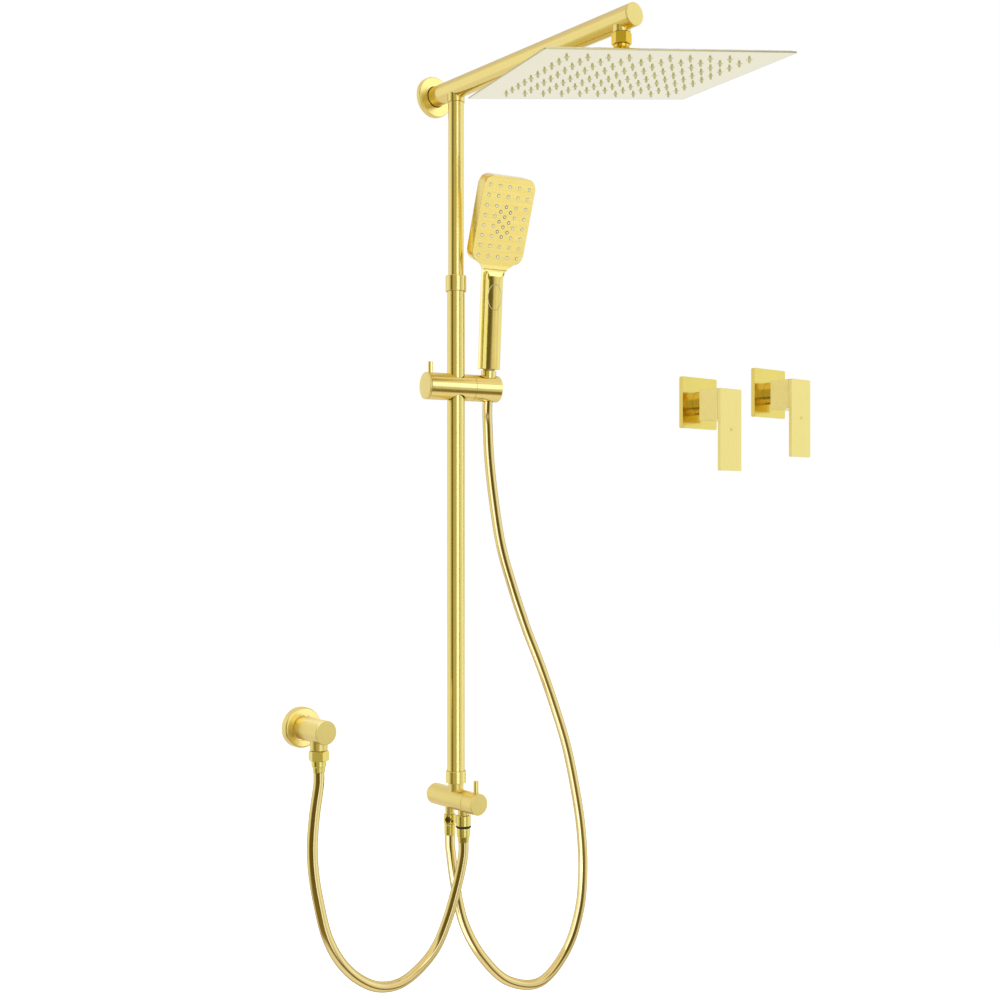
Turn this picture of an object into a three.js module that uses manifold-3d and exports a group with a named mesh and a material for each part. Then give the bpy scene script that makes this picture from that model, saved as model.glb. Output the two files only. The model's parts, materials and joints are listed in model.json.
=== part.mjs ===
// Rainfall shower column with a hand shower, a wall elbow and two wall taps, in millimetres.
// X runs right along the wall, Y into the wall and Z up. The wall's face is the plane Y = 0, and the
// origin is the centre of the arm's wall anchor on that face.
import * as THREE from "three";
import { mergeVertices } from "three/addons/utils/BufferGeometryUtils.js";
import Module from "manifold-3d";

const wasm = await Module();
wasm.setup();

// Driving dimensions
const GAP = 0.3; // between pieces that touch
const SIDES = 20; // sides of a large round piece
const FEW_SIDES = 12; // sides of a small round piece
const STANDOFF = 55; // riser axis to wall
const WALL = 2; // wall of the arm's tube

const ARM_R = 14;
const ARM_END = 404;
const OUTLET_Y = 381; // rain head's outlet, out from the wall
const ARM_FLANGE_R = 28.5;
const ARM_FLANGE_DEPTH = 8;

const UPPER_R = 11;
const LOWER_R = 12.5;
const RISER_TOP = -20.3;
const UPPER_FOOT = -480;
const LOWER_TOP = -283.9;
const LOWER_FOOT = -970;
const LOCK_TOP = -264.4;
const LOCK_FOOT = -286.4;
const LOCK_R = 14.75;
const COLLAR_TOP = -961;
const COLLAR_FOOT = -978;
const COLLAR_R = 14.5;

const SADDLE_R = 11.2; // seat under the arm, above the nut
const NUT_TOP = -17;
const NUT_FOOT = -31;
const NUT_R = 12.4;
const BALL_Z = -49;
const BALL_R = 8;
const HEAD_SIDE = 304;
const HEAD_THICK = 3.6;
const HEAD_TOP = -16.8; // head's top face below the ball's centre
const HEAD_TURN = [5.16, -7.78, -22.79].map(THREE.MathUtils.degToRad);
const HEAD_ROWS = 10;
const HEAD_PITCH = 25;
const NOZZLE_LONG = 4; // below the face
const NOZZLE_R = 3.3; // its seat, flush with the face
const NOZZLE_STEM_R = 1.8;
const NOZZLE_TIP_R = 1;

const SLIDER_Z = -421;
const SLIDER_R = 19;
const SLIDER_YAW = THREE.MathUtils.degToRad(-12);
const SLIDER_LEFT = -48;
const SLIDER_SEAM = 24;
const SLIDER_RIGHT = 66;
const HOLDER_AT = 51; // hand shower's axis along the slider
const PIN_AT = -39.5;
const PIN_TOP = 34;

const HANDSET_LEAN = THREE.MathUtils.degToRad(4.5);
const HANDSET_FOOT = 27.5; // handle's lower end above the slider's axis
const HANDLE_WIDE = 32;
const HANDLE_DEEP = 23;
const HANDLE_CORNER = 9;
const CONE_FOOT = -17;
const NECK_FOOT = 150;
const FACE_CENTRE = [0, -30, 232];
const FACE_LEAN = THREE.MathUtils.degToRad(18);
const FACE_WIDE = 80;
const FACE_HIGH = 122;
const FACE_CORNER = 14;
const FACE_THICK = 2.4;
const HEAD_DEEP = 17.6; // shell behind the face
const JET_PITCH_X = 15.2;
const JET_PITCH_Z = 13.9;
const TOP_JETS = 48; // top row above the face's centre
const BUTTON_Z = 129;
const BUTTON_WIDE = 20;
const BUTTON_HIGH = 36;

const DIVERTER_Z = -1001;
const DIVERTER_R = 15;
const DIVERTER_BACK = 6; // body's rear end; a foot fills the gap to the wall
const DIVERTER_SEAM = 84;
const DIVERTER_END = 107;
const DIVERTER_PIN_Y = 100;
const DIVERTER_PIN_R = 3.6;
const DIVERTER_PIN_TOP = 32;
const REAR_UNION_Y = 41;
const FRONT_UNION_Y = 72;
const REAR_UNION_TOP = -1025;
const REAR_UNION_FOOT = -1038;
const UNION_SCREW_Z = -1031.5;
const REAR_HOSE_TOP = -1054;
const FRONT_UNION_TOP = -1021;
const FRONT_UNION_FOOT = -1035.6;
const O_RING_FOOT = -1038.4;
const FRONT_NUT_FOOT = -1050.6;
const FRONT_HOSE_TOP = -1058.6;

const ELBOW_X = -221.7;
const ELBOW_Z = -883;
const ELBOW_R = 15.8;
const ELBOW_END = 67;
const ELBOW_OUTLET_Y = 49;
const ELBOW_FLANGE_R = 27;
const ELBOW_FLANGE_DEPTH = 12;
const ELBOW_NUT_TOP = -907.9;
const ELBOW_NUT_FOOT = -921;
const ELBOW_HOSE_TOP = -936;

const HOT_X = 571;
const HOT_Z = -408;
const COLD_X = 763;
const COLD_Z = -379;
const TAP_PLATE = 88;
const TAP_PLATE_DEPTH = 8;
const TAP_STEM_R = 20;
const TAP_STEM_END = 30;
const TAP_BLOCK = [54, 40, 52];
const TAP_BLADE_THICK = 6;
const TAP_BLADE_LONG = 138;
const TAP_BLOCK_DROP = 6; // block's centre below the stem's axis

const HOSE_R = 7;
const HOSE_SIDES = 8;
const HOSE_STEPS = 34;
const SUPPLY_STEPS = 19;

// Hose routes: straight out of each end, then a hanging loop.
const HANDSET_HOSE = [
  [48, -67, -475], [50, -68, -520], [56, -71, -580], [67, -74, -645], [85, -76, -700], [108, -79, -760],
  [136, -81, -820], [162, -82, -880], [185, -83, -940], [203, -83, -1005], [216, -83, -1070],
  [223, -80, -1135], [219, -77, -1195], [196, -73, -1252], [147, -69, -1290], [92, -62, -1278],
  [48, -55, -1235], [19, -49, -1182], [6, -45, -1123], [1, -42, -1080],
];
const SUPPLY_HOSE = [
  [-225, -50, -967], [-231, -53, -992], [-236, -56, -1030], [-235, -58, -1065], [-229, -61, -1105],
  [-218, -63, -1148], [-199, -65, -1184], [-172, -66, -1212], [-140, -67, -1230], [-106, -68, -1233],
  [-73, -68, -1220], [-46, -69, -1197], [-27, -70, -1163], [-14, -71, -1128], [-4, -72, -1093],
];

const column = new THREE.Group();

// Materials
const finish = (color, roughness, metalness) => () =>
  new THREE.MeshStandardMaterial({ color, roughness, metalness });
const brushedGold = finish(0xd8c06a, 0.32, 1);
const polishedGold = finish(0xe0c050, 0.12, 1);
const creamSteel = finish(0xe8e2c4, 0.18, 1);
const brass = finish(0xb59a4a, 0.4, 1);
const nylon = finish(0xf0eee6, 0.6, 0);
const blackRubber = finish(0x15140f, 0.7, 0);
const oliveRubber = finish(0xa8a668, 0.6, 0);
const clearRubber = finish(0xe4e0cc, 0.5, 0);

// Geometry helpers
function solidOf(geometry) {
  const bare = geometry.clone();
  bare.deleteAttribute("normal");
  bare.deleteAttribute("uv");
  const merged = mergeVertices(bare, 1e-3);
  const triVerts = new Uint32Array(merged.index.array);
  return new wasm.Manifold(
    new wasm.Mesh({ numProp: 3, vertProperties: merged.attributes.position.array, triVerts }),
  );
}

function geometryOf(solid) {
  const { vertProperties, triVerts } = solid.getMesh();
  return new THREE.BufferGeometry()
    .setAttribute("position", new THREE.BufferAttribute(vertProperties, 3))
    .setIndex(new THREE.BufferAttribute(triVerts, 1));
}

const join = (first, ...rest) =>
  geometryOf(rest.reduce((sum, next) => sum.add(solidOf(next)), solidOf(first)));
const cut = (first, ...rest) =>
  geometryOf(rest.reduce((left, next) => left.subtract(solidOf(next)), solidOf(first)));
const common = (first, second) => geometryOf(solidOf(first).intersect(solidOf(second)));

// A turned piece about +Z; its profile of [radius, height] runs anticlockwise.
function turned(profile, sides = SIDES) {
  const points = profile.map(([radius, height]) => new THREE.Vector2(radius, height));
  return new THREE.LatheGeometry(points, sides).rotateX(Math.PI / 2);
}

const rod = (radius, low, high, sides) =>
  turned([[0, low], [radius, low], [radius, high], [0, high]], sides);
const ring = (inner, outer, low, high, sides) =>
  turned([[inner, low], [outer, low], [outer, high], [inner, high], [inner, low]], sides);
const outward = (geometry) => geometry.rotateX(Math.PI / 2); // from +Z to -Y, out of the wall
const rightward = (geometry) => geometry.rotateY(Math.PI / 2); // from +Z to +X
const moved = (geometry, [x, y, z]) => geometry.translate(x, y, z);
const box = (wide, deep, high, centre = [0, 0, 0]) =>
  moved(new THREE.BoxGeometry(wide, deep, high), centre);

function roundedRectangle(wide, high, corner) {
  const x = wide / 2;
  const y = high / 2;
  const shape = new THREE.Shape();
  shape.moveTo(-x + corner, -y);
  shape.lineTo(x - corner, -y);
  shape.absarc(x - corner, -y + corner, corner, -Math.PI / 2, 0);
  shape.lineTo(x, y - corner);
  shape.absarc(x - corner, y - corner, corner, 0, Math.PI / 2);
  shape.lineTo(-x + corner, y);
  shape.absarc(-x + corner, y - corner, corner, Math.PI / 2, Math.PI);
  shape.lineTo(-x, -y + corner);
  shape.absarc(-x + corner, -y + corner, corner, Math.PI, 1.5 * Math.PI);
  return shape;
}

// A slab of a shape in X and Z; its front is at -Y, from y = front to y = front + depth.
function slab(shape, front, depth, curveSegments = 4) {
  return new THREE.ExtrudeGeometry(shape, { depth, bevelEnabled: false, curveSegments })
    .rotateX(Math.PI / 2)
    .translate(0, front + depth, 0);
}

// Closed surface through rounded-rectangle sections: [centre y, centre z, lean, wide, deep, corner].
function loft(sections, perCorner = 4) {
  const rings = sections.map(([y, z, lean, wide, deep, corner]) => {
    const place = ([u, v]) => [u, y + v * Math.cos(lean), z + v * Math.sin(lean)];
    return cornerPoints(wide, deep, corner, perCorner).map(place);
  });
  const count = rings[0].length;
  const index = [];
  for (let k = 0; k + 1 < rings.length; k++) {
    for (let i = 0; i < count; i++) {
      const a = k * count + i;
      const b = k * count + ((i + 1) % count);
      index.push(a, b, b + count, a, b + count, a + count);
    }
  }
  const last = (rings.length - 1) * count;
  for (let i = 1; i + 1 < count; i++) {
    index.push(0, i + 1, i);
    index.push(last, last + i, last + i + 1);
  }
  return new THREE.BufferGeometry()
    .setAttribute("position", new THREE.Float32BufferAttribute(rings.flat(2), 3))
    .setIndex(index);
}

function cornerPoints(wide, deep, corner, perCorner) {
  const points = [];
  for (let q = 0; q < 4; q++) {
    const cx = (q === 0 || q === 3 ? 1 : -1) * (wide / 2 - corner);
    const cy = (q < 2 ? 1 : -1) * (deep / 2 - corner);
    for (let i = 0; i <= perCorner; i++) {
      const angle = ((q + i / perCorner) * Math.PI) / 2;
      points.push([cx + corner * Math.cos(angle), cy + corner * Math.sin(angle)]);
    }
  }
  return points;
}

function add(parent, name, geometry, material, position = [0, 0, 0]) {
  const mesh = new THREE.Mesh(geometry, material());
  mesh.name = name;
  mesh.position.set(...position);
  parent.add(mesh);
  return mesh;
}

function groupAt(parent, position, rotation = [0, 0, 0]) {
  const group = new THREE.Group();
  group.position.set(...position);
  group.rotation.set(...rotation);
  parent.add(group);
  return group;
}

// A tube of the hose's diameter through the points, leaving each end straight in its direction.
function hose(start, startWay, route, end, endWay, steps) {
  const lead = 14;
  const ahead = (from, way) => from.map((value, i) => value + lead * way[i]);
  const places = [start, ahead(start, startWay), ...route, ahead(end, endWay), end];
  const points = places.map((place) => new THREE.Vector3(...place));
  const path = new THREE.CatmullRomCurve3(points, false, "centripetal");
  const section = new THREE.Shape();
  for (let i = 0; i < HOSE_SIDES; i++) {
    const angle = (i * 2 * Math.PI) / HOSE_SIDES;
    const corner = [HOSE_R * Math.cos(angle), HOSE_R * Math.sin(angle)];
    if (i === 0) section.moveTo(...corner);
    else section.lineTo(...corner);
  }
  return new THREE.ExtrudeGeometry(section, { steps, extrudePath: path });
}

// Flange that covers a wall fitting: back face on the wall, hollow behind, bored at the front.
function wallFlange(outer, depth, bore) {
  const lip = 3;
  return outward(turned([
    [outer - lip, 0], [outer, 0], [outer, depth - 1], [outer - 1, depth], [bore, depth],
    [bore, depth - lip], [outer - lip, depth - lip], [outer - lip, 0],
  ]));
}

function buildArm() {
  const anchor = turned([
    [0, 0], [22, 0], [22, 3], [ARM_R - WALL - GAP, 3], [ARM_R - WALL - GAP, 34], [0, 34],
  ]);
  add(column, "arm_anchor", outward(anchor), brass);
  add(column, "arm_flange", wallFlange(ARM_FLANGE_R, ARM_FLANGE_DEPTH, ARM_R + 0.4), brushedGold);

  const capDepth = 2;
  const tube = outward(ring(ARM_R - WALL, ARM_R, 3 + GAP, ARM_END - capDepth - GAP));
  const outletHole = moved(rod(8 + GAP, -20, 0, FEW_SIDES), [0, -OUTLET_Y, 0]);
  const riserHole = moved(rod(9, -20, 0, FEW_SIDES), [0, -STANDOFF, 0]);
  add(column, "shower_arm", cut(tube, outletHole, riserHole), brushedGold);
  add(column, "arm_end_cap", outward(turned([
    [0, ARM_END - 10], [ARM_R - WALL - GAP, ARM_END - 10], [ARM_R - WALL - GAP, ARM_END - capDepth],
    [ARM_R, ARM_END - capDepth], [ARM_R, ARM_END - 0.5], [ARM_R - 0.5, ARM_END], [0, ARM_END],
  ])), brushedGold);
  const armClearance = outward(rod(ARM_R + GAP, -40, 40));
  const saddle = cut(rod(SADDLE_R, NUT_TOP + GAP, -6), armClearance);
  const thread = rod(8, NUT_FOOT, -9, FEW_SIDES);
  const spigot = cut(join(saddle, thread), rod(5, -40, 0, FEW_SIDES));
  add(column, "outlet_spigot", spigot, brushedGold, [0, -OUTLET_Y, 0]);

  const socket = cut(ring(8.7, UPPER_R + 1.2, RISER_TOP + GAP, -6), armClearance);
  add(column, "riser_socket", socket, brushedGold, [0, -STANDOFF, 0]);
  add(column, "upper_riser", ring(9.2, UPPER_R, UPPER_FOOT, RISER_TOP), brushedGold, [0, -STANDOFF, 0]);
}

// Square holes or nubs at the given [x, z] places, as one geometry per place.
const jets = (places, radius, front, depth) =>
  places.map(([x, z]) => moved(outward(rod(radius, 0, depth, 4)), [x, front + depth, z]));

function rainPlaces() {
  const places = [];
  for (let i = 0; i < HEAD_ROWS; i++) {
    for (let j = 0; j < HEAD_ROWS; j++) {
      places.push([(i - (HEAD_ROWS - 1) / 2) * HEAD_PITCH, (j - (HEAD_ROWS - 1) / 2) * HEAD_PITCH]);
    }
  }
  return places;
}

// One solid joined or cut with many small ones, which never touch each other.
const joinMany = (first, many) => geometryOf(wasm.Manifold.union([solidOf(first), ...many.map(solidOf)]));
const cutMany = (first, many) =>
  geometryOf(solidOf(first).subtract(wasm.Manifold.union(many.map(solidOf))));

function buildRainHead() {
  const nut = cut(rod(NUT_R, NUT_FOOT, NUT_TOP, 6), rod(8.5, -60, 0, FEW_SIDES));
  add(column, "swivel_nut", nut, polishedGold, [0, -OUTLET_Y, 0]);
  const ball = new THREE.SphereGeometry(BALL_R, FEW_SIDES, 8);
  const shoulder = NUT_FOOT - GAP - BALL_Z;
  const stem = turned([
    [0, 2], [5, 2], [5, shoulder - 4], [9.8, shoulder - 4], [9.8, shoulder], [0, shoulder],
  ]);
  add(column, "swivel_ball", join(ball, stem), polishedGold, [0, -OUTLET_Y, BALL_Z]);

  const head = groupAt(column, [0, -OUTLET_Y, BALL_Z], HEAD_TURN);
  add(head, "ball_seat", ring(BALL_R + 0.6, 10, -1.5, 1.5, FEW_SIDES), nylon);
  add(head, "head_collar", turned([
    [5, HEAD_TOP + GAP], [13, HEAD_TOP + GAP], [13, 0.5], [10.5, 0.5], [10.5, -9], [5, -9],
    [5, HEAD_TOP + GAP],
  ]), brushedGold);

  const bottom = HEAD_TOP - HEAD_THICK;
  const rim = 3;
  const skin = 1;
  const face = 1.1;
  const pocketHigh = HEAD_THICK - skin;
  const pocketSide = HEAD_SIDE - 2 * rim;
  const pocket = box(pocketSide, pocketSide, pocketHigh + 1, [0, 0, bottom + pocketHigh / 2 - 0.5]);
  const shell = box(HEAD_SIDE, HEAD_SIDE, HEAD_THICK, [0, 0, HEAD_TOP - HEAD_THICK / 2]);
  add(head, "head_shell", cut(shell, pocket, rod(5, -30, 0, FEW_SIDES)), creamSteel);

  const places = rainPlaces();
  const faceDown = (geometry) => geometry.rotateX(Math.PI / 2);
  const holes = jets(places, NOZZLE_R + 0.6, -1, 4).map(faceDown);
  const plateSide = HEAD_SIDE - 2 * rim - 2 * GAP;
  const plate = moved(box(plateSide, plateSide, face), [0, 0, face / 2]);
  add(head, "head_face", cutMany(plate, holes), creamSteel, [0, 0, bottom]);
  const sheetHigh = pocketHigh - face - 2 * GAP;
  const sheetSide = HEAD_PITCH * HEAD_ROWS + 10;
  const sheet = box(sheetSide, sheetSide, sheetHigh, [0, 0, face + GAP + sheetHigh / 2]);
  const nubTop = face + GAP + 0.4;
  const nub = turned([
    [0, -NOZZLE_LONG], [NOZZLE_TIP_R, -NOZZLE_LONG], [NOZZLE_STEM_R, -0.4], [NOZZLE_R, -0.4],
    [NOZZLE_R, nubTop], [0, nubTop],
  ], 4);
  const nubs = places.map(([x, y]) => moved(nub.clone(), [x, y, 0]));
  add(head, "nozzle_mat", joinMany(sheet, nubs), oliveRubber, [0, 0, bottom]);
}

function buildRiser() {
  const riser = groupAt(column, [0, -STANDOFF, 0]);
  add(riser, "lower_riser", ring(UPPER_R + GAP, LOWER_R, LOWER_FOOT, LOWER_TOP), brushedGold);
  add(riser, "riser_clamp_ring", ring(UPPER_R + GAP, 13, LOWER_TOP + GAP, LOCK_TOP - 3 - GAP), nylon);
  add(riser, "riser_lock", turned([
    [LOWER_R + 0.8, LOCK_FOOT], [LOCK_R, LOCK_FOOT], [LOCK_R, LOCK_TOP], [UPPER_R + 0.4, LOCK_TOP],
    [UPPER_R + 0.4, LOCK_TOP - 3], [LOWER_R + 0.8, LOCK_TOP - 3], [LOWER_R + 0.8, LOCK_FOOT],
  ]), brushedGold);
  add(riser, "lower_collar", turned([
    [9, COLLAR_FOOT], [COLLAR_R, COLLAR_FOOT], [COLLAR_R, COLLAR_TOP], [LOWER_R + GAP, COLLAR_TOP],
    [LOWER_R + GAP, LOWER_FOOT - GAP], [9, LOWER_FOOT - GAP], [9, COLLAR_FOOT],
  ]), brushedGold);
}

function buildDiverter() {
  const diverter = groupAt(column, [0, 0, DIVERTER_Z]);
  const barrel = outward(rod(DIVERTER_R, DIVERTER_BACK, DIVERTER_SEAM));
  add(diverter, "diverter_foot", outward(rod(11, 0, DIVERTER_BACK - GAP)), brushedGold);
  const neckTop = COLLAR_FOOT - GAP - DIVERTER_Z;
  const neck = moved(rod(10.8, 0, neckTop), [0, -STANDOFF, 0]);
  const rearStub = moved(rod(6.7, -23.7, 0, FEW_SIDES), [0, -REAR_UNION_Y, 0]);
  const frontStub = moved(rod(8, -19.7, 0, FEW_SIDES), [0, -FRONT_UNION_Y, 0]);
  const cartridgeR = 10;
  const bore = outward(rod(cartridgeR + GAP, 25, DIVERTER_SEAM + 5, FEW_SIDES));
  const ports = [[STANDOFF, 0, 40, 7], [REAR_UNION_Y, -40, 0, 4], [FRONT_UNION_Y, -40, 0, 5]]
    .map(([y, low, high, radius]) => moved(rod(radius, low, high, 8), [0, -y, 0]));
  const body = cut(join(barrel, neck, rearStub, frontStub), bore, ...ports);
  add(diverter, "diverter_body", body, brushedGold);

  const pinHole = moved(rod(DIVERTER_PIN_R + GAP, 9, 30, 12), [0, -DIVERTER_PIN_Y, 0]);
  const knob = outward(turned([
    [0, DIVERTER_SEAM + GAP], [DIVERTER_R, DIVERTER_SEAM + GAP], [DIVERTER_R, DIVERTER_END - 0.8],
    [DIVERTER_R - 0.8, DIVERTER_END], [0, DIVERTER_END],
  ]));
  add(diverter, "diverter_knob", cut(knob, pinHole), brushedGold);
  const pin = rod(DIVERTER_PIN_R, 9 + GAP, DIVERTER_PIN_TOP, 12);
  add(diverter, "diverter_pin", pin, brushedGold, [0, -DIVERTER_PIN_Y, 0]);
  const cartridge = outward(rod(cartridgeR - 0.4, 30, DIVERTER_SEAM, FEW_SIDES));
  add(diverter, "diverter_cartridge", cartridge, nylon);

  const rear = groupAt(column, [0, -REAR_UNION_Y, 0]);
  const screwTurn = THREE.MathUtils.degToRad(-57);
  const screwOut = (geometry) => outward(geometry).rotateZ(screwTurn);
  const screwR = 4.6;
  const screwHole = moved(screwOut(rod(screwR + GAP, 5, 20, 6)), [0, 0, UNION_SCREW_Z]);
  add(rear, "rear_union", cut(rod(9, REAR_UNION_FOOT, REAR_UNION_TOP), screwHole), brushedGold);
  add(rear, "union_screw", screwOut(rod(screwR, 5 + GAP, 9.6, 6)), brass, [0, 0, UNION_SCREW_Z]);
  const rearTop = REAR_UNION_FOOT - GAP;
  add(rear, "rear_ferrule", turned([
    [0, REAR_HOSE_TOP], [8, REAR_HOSE_TOP], [8, rearTop - 1.2], [7, rearTop], [0, rearTop],
  ], 16), brushedGold);

  const front = groupAt(column, [0, -FRONT_UNION_Y, 0]);
  add(front, "front_union", ring(4, 10.5, FRONT_UNION_FOOT, FRONT_UNION_TOP), brushedGold);
  add(front, "union_o_ring", ring(8, 10.7, O_RING_FOOT, FRONT_UNION_FOOT - GAP), blackRubber);
  add(front, "front_nut", ring(4, 9.6, FRONT_NUT_FOOT, O_RING_FOOT - GAP), brushedGold);
  const frontTop = FRONT_NUT_FOOT - GAP;
  add(front, "front_ferrule", turned([
    [0, FRONT_HOSE_TOP], [7.8, FRONT_HOSE_TOP], [8.4, frontTop], [0, frontTop],
  ], 16), brushedGold);
}

function buildSlider() {
  const riser = groupAt(column, [0, -STANDOFF, SLIDER_Z]);
  const boreR = 15.3;
  add(riser, "slider_bush", ring(LOWER_R + GAP, boreR - GAP, -11, 11), nylon);

  const slider = groupAt(riser, [0, 0, 0], [0, 0, SLIDER_YAW]);
  const capDepth = 3;
  const left = SLIDER_LEFT + capDepth + GAP;
  const camR = 9;
  const pinR = 3.4;
  const slotSteps = 5;
  const slotStep = THREE.MathUtils.degToRad(10);
  const slot = [];
  for (let i = 0; i <= slotSteps; i++) {
    const cutter = rod(pinR + 0.5, 0, 30, 12).rotateX(-i * slotStep);
    slot.push(moved(cutter, [PIN_AT, 0, 0]));
  }
  add(slider, "slider_body", cut(
    rightward(rod(SLIDER_R, left, SLIDER_SEAM)),
    rod(boreR, -30, 30),
    rightward(rod(camR + GAP, left - 5, -5)),
    rightward(rod(6 + GAP, 5, SLIDER_SEAM + 5, FEW_SIDES)),
    ...slot,
  ), brushedGold);
  add(slider, "slider_end_cap", rightward(turned([
    [0, SLIDER_LEFT], [SLIDER_R - 0.8, SLIDER_LEFT], [SLIDER_R, SLIDER_LEFT + 0.8],
    [SLIDER_R, left - GAP], [0, left - GAP],
  ])), brushedGold);
  const pinHole = moved(rod(pinR + GAP, 0, 30, 12), [PIN_AT, 0, 0]);
  add(slider, "lock_cam", cut(rightward(rod(camR, left + 1, -boreR - 0.5, FEW_SIDES)), pinHole), brass);
  add(slider, "lock_pin", rod(pinR, GAP, PIN_TOP, 12), brushedGold, [PIN_AT, 0, 0]);

  const holderBody = rightward(turned([
    [0, SLIDER_SEAM + GAP], [SLIDER_R, SLIDER_SEAM + GAP], [SLIDER_R, SLIDER_RIGHT - 1.5],
    [SLIDER_R - 1.5, SLIDER_RIGHT], [0, SLIDER_RIGHT],
  ]));
  const stud = rightward(rod(6, boreR + 1.2, SLIDER_SEAM + 5, FEW_SIDES));
  const socket = turned([[0, -30], [8.8, -30], [8.8, -22], [11.3, 16], [11.3, 30], [0, 30]], 20)
    .rotateX(HANDSET_LEAN)
    .translate(HOLDER_AT, 0, 0);
  add(slider, "handset_holder", cut(join(holderBody, stud), socket), brushedGold);
  return groupAt(slider, [HOLDER_AT, 0, 0], [HANDSET_LEAN, 0, 0]);
}

// Handle and head in one: sections up the handle, through the neck, then along the leaning head.
function handsetBlank() {
  const lean = FACE_LEAN;
  const [, faceY, faceZ] = FACE_CENTRE;
  const middle = HEAD_DEEP / 2 + FACE_THICK / 2;
  // A section across the head at a height along its face; its centre lies behind the face.
  const across = (along, wide, deep, corner) => [
    faceY - along * Math.sin(lean) + middle * Math.cos(lean),
    faceZ + along * Math.cos(lean) + middle * Math.sin(lean),
    lean,
    wide,
    deep,
    corner,
  ];
  const low = -FACE_HIGH / 2;
  const deep = HEAD_DEEP + FACE_THICK;
  const inset = (t) => FACE_CORNER * (1 - Math.sqrt(1 - (1 - t) * (1 - t)));
  const rounded = [0.08, 0.3, 0.6, 1].map((t) => [t * FACE_CORNER, FACE_WIDE - 2 * inset(t)]);
  return loft([
    [0, HANDSET_FOOT, 0, HANDLE_WIDE, HANDLE_DEEP, HANDLE_CORNER],
    [0, NECK_FOOT - 20, 0, HANDLE_WIDE, HANDLE_DEEP, HANDLE_CORNER],
    [-1, NECK_FOOT, 0.02, HANDLE_WIDE + 1, HANDLE_DEEP, HANDLE_CORNER],
    [-5, NECK_FOOT + 11, 0.08, HANDLE_WIDE + 6, HANDLE_DEEP - 2, HANDLE_CORNER],
    ...rounded.map(([along, wide]) => across(low + along, wide, deep, 3)),
    ...rounded.reverse().map(([along, wide]) => across(-low - along, wide, deep, 3)),
  ]);
}

function jetPlaces() {
  const rows = 8;
  const columns = 5;
  const outer = [];
  for (let row = 0; row < rows; row++) {
    for (let column = 0; column < columns; column++) {
      const inMiddle = column === 2 && row > 1 && row < 6;
      if (!inMiddle) outer.push([(column - 2) * JET_PITCH_X, TOP_JETS - row * JET_PITCH_Z]);
    }
  }
  const inner = [];
  for (let row = 0; row < 7; row++) {
    const z = TOP_JETS - (2 + row * 0.5) * JET_PITCH_Z;
    const across = row % 2 ? [-0.5, 0.5] : [0];
    across.forEach((x) => inner.push([x * JET_PITCH_X, z]));
  }
  return { outer, inner };
}

function buildHandset(dock) {
  const coneTop = HANDSET_FOOT - 2;
  add(dock, "hose_cone", turned([
    [0, CONE_FOOT], [8.7, CONE_FOOT], [10.9, 16], [11, 20], [11, coneTop], [0, coneTop],
  ], 20), brushedGold);
  const inletTop = HANDSET_FOOT + 14;
  add(dock, "handset_inlet", rod(8.5, coneTop + GAP, inletTop, FEW_SIDES), brass);

  const toFace = (geometry) => geometry.rotateX(FACE_LEAN).translate(...FACE_CENTRE);
  const blank = handsetBlank();
  const frontHalf = toFace(box(200, 100, 400, [0, -50 + FACE_THICK, 0]));
  const handleSide = toFace(box(200, 200, 200, [0, 0, -100 - FACE_HIGH / 2 - 3]));
  const frontCut = cut(frontHalf, handleSide);
  const cavity = toFace(slab(roundedRectangle(FACE_WIDE - 8, FACE_HIGH - 10, FACE_CORNER - 4), -1, 10));
  const waterway = rod(8.5 + GAP, HANDSET_FOOT - 5, inletTop + GAP, FEW_SIDES);
  const duct = rod(4, HANDSET_FOOT, FACE_CENTRE[2] - 70, 8);
  const ellipse = (wide, high) => new THREE.Shape().absellipse(0, 0, wide / 2, high / 2, 0, 2 * Math.PI);
  const oval = (grow, depth) =>
    moved(slab(ellipse(BUTTON_WIDE + grow, BUTTON_HIGH + grow), -20, depth, 10), [0, 0, BUTTON_Z]);
  const buttonSeat = -5;
  const shell = cut(blank, frontCut, cavity, waterway, duct, oval(2 * GAP, 20 + buttonSeat));
  add(dock, "handset_shell", shell, brushedGold);

  const travel = 2.5;
  const button = common(blank, oval(0, 20 + buttonSeat - travel));
  add(dock, "mode_button", button, brushedGold);

  const { outer, inner } = jetPlaces();
  const places = [...outer, ...inner];
  const faceSlab = slab(roundedRectangle(FACE_WIDE, FACE_HIGH, FACE_CORNER), 0, FACE_THICK - GAP);
  const face = cutMany(faceSlab, jets(places, 2.1, -2, 8));
  add(dock, "handset_face", toFace(face), brushedGold);
  const back = FACE_THICK;
  const sheet = slab(roundedRectangle(FACE_WIDE - 10, FACE_HIGH - 12, FACE_CORNER - 5), back, 2);
  const mat = joinMany(sheet, jets(places, 1.7, -0.8, back + 1.5));
  add(dock, "handset_nozzles", toFace(mat), clearRubber);
}

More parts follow.
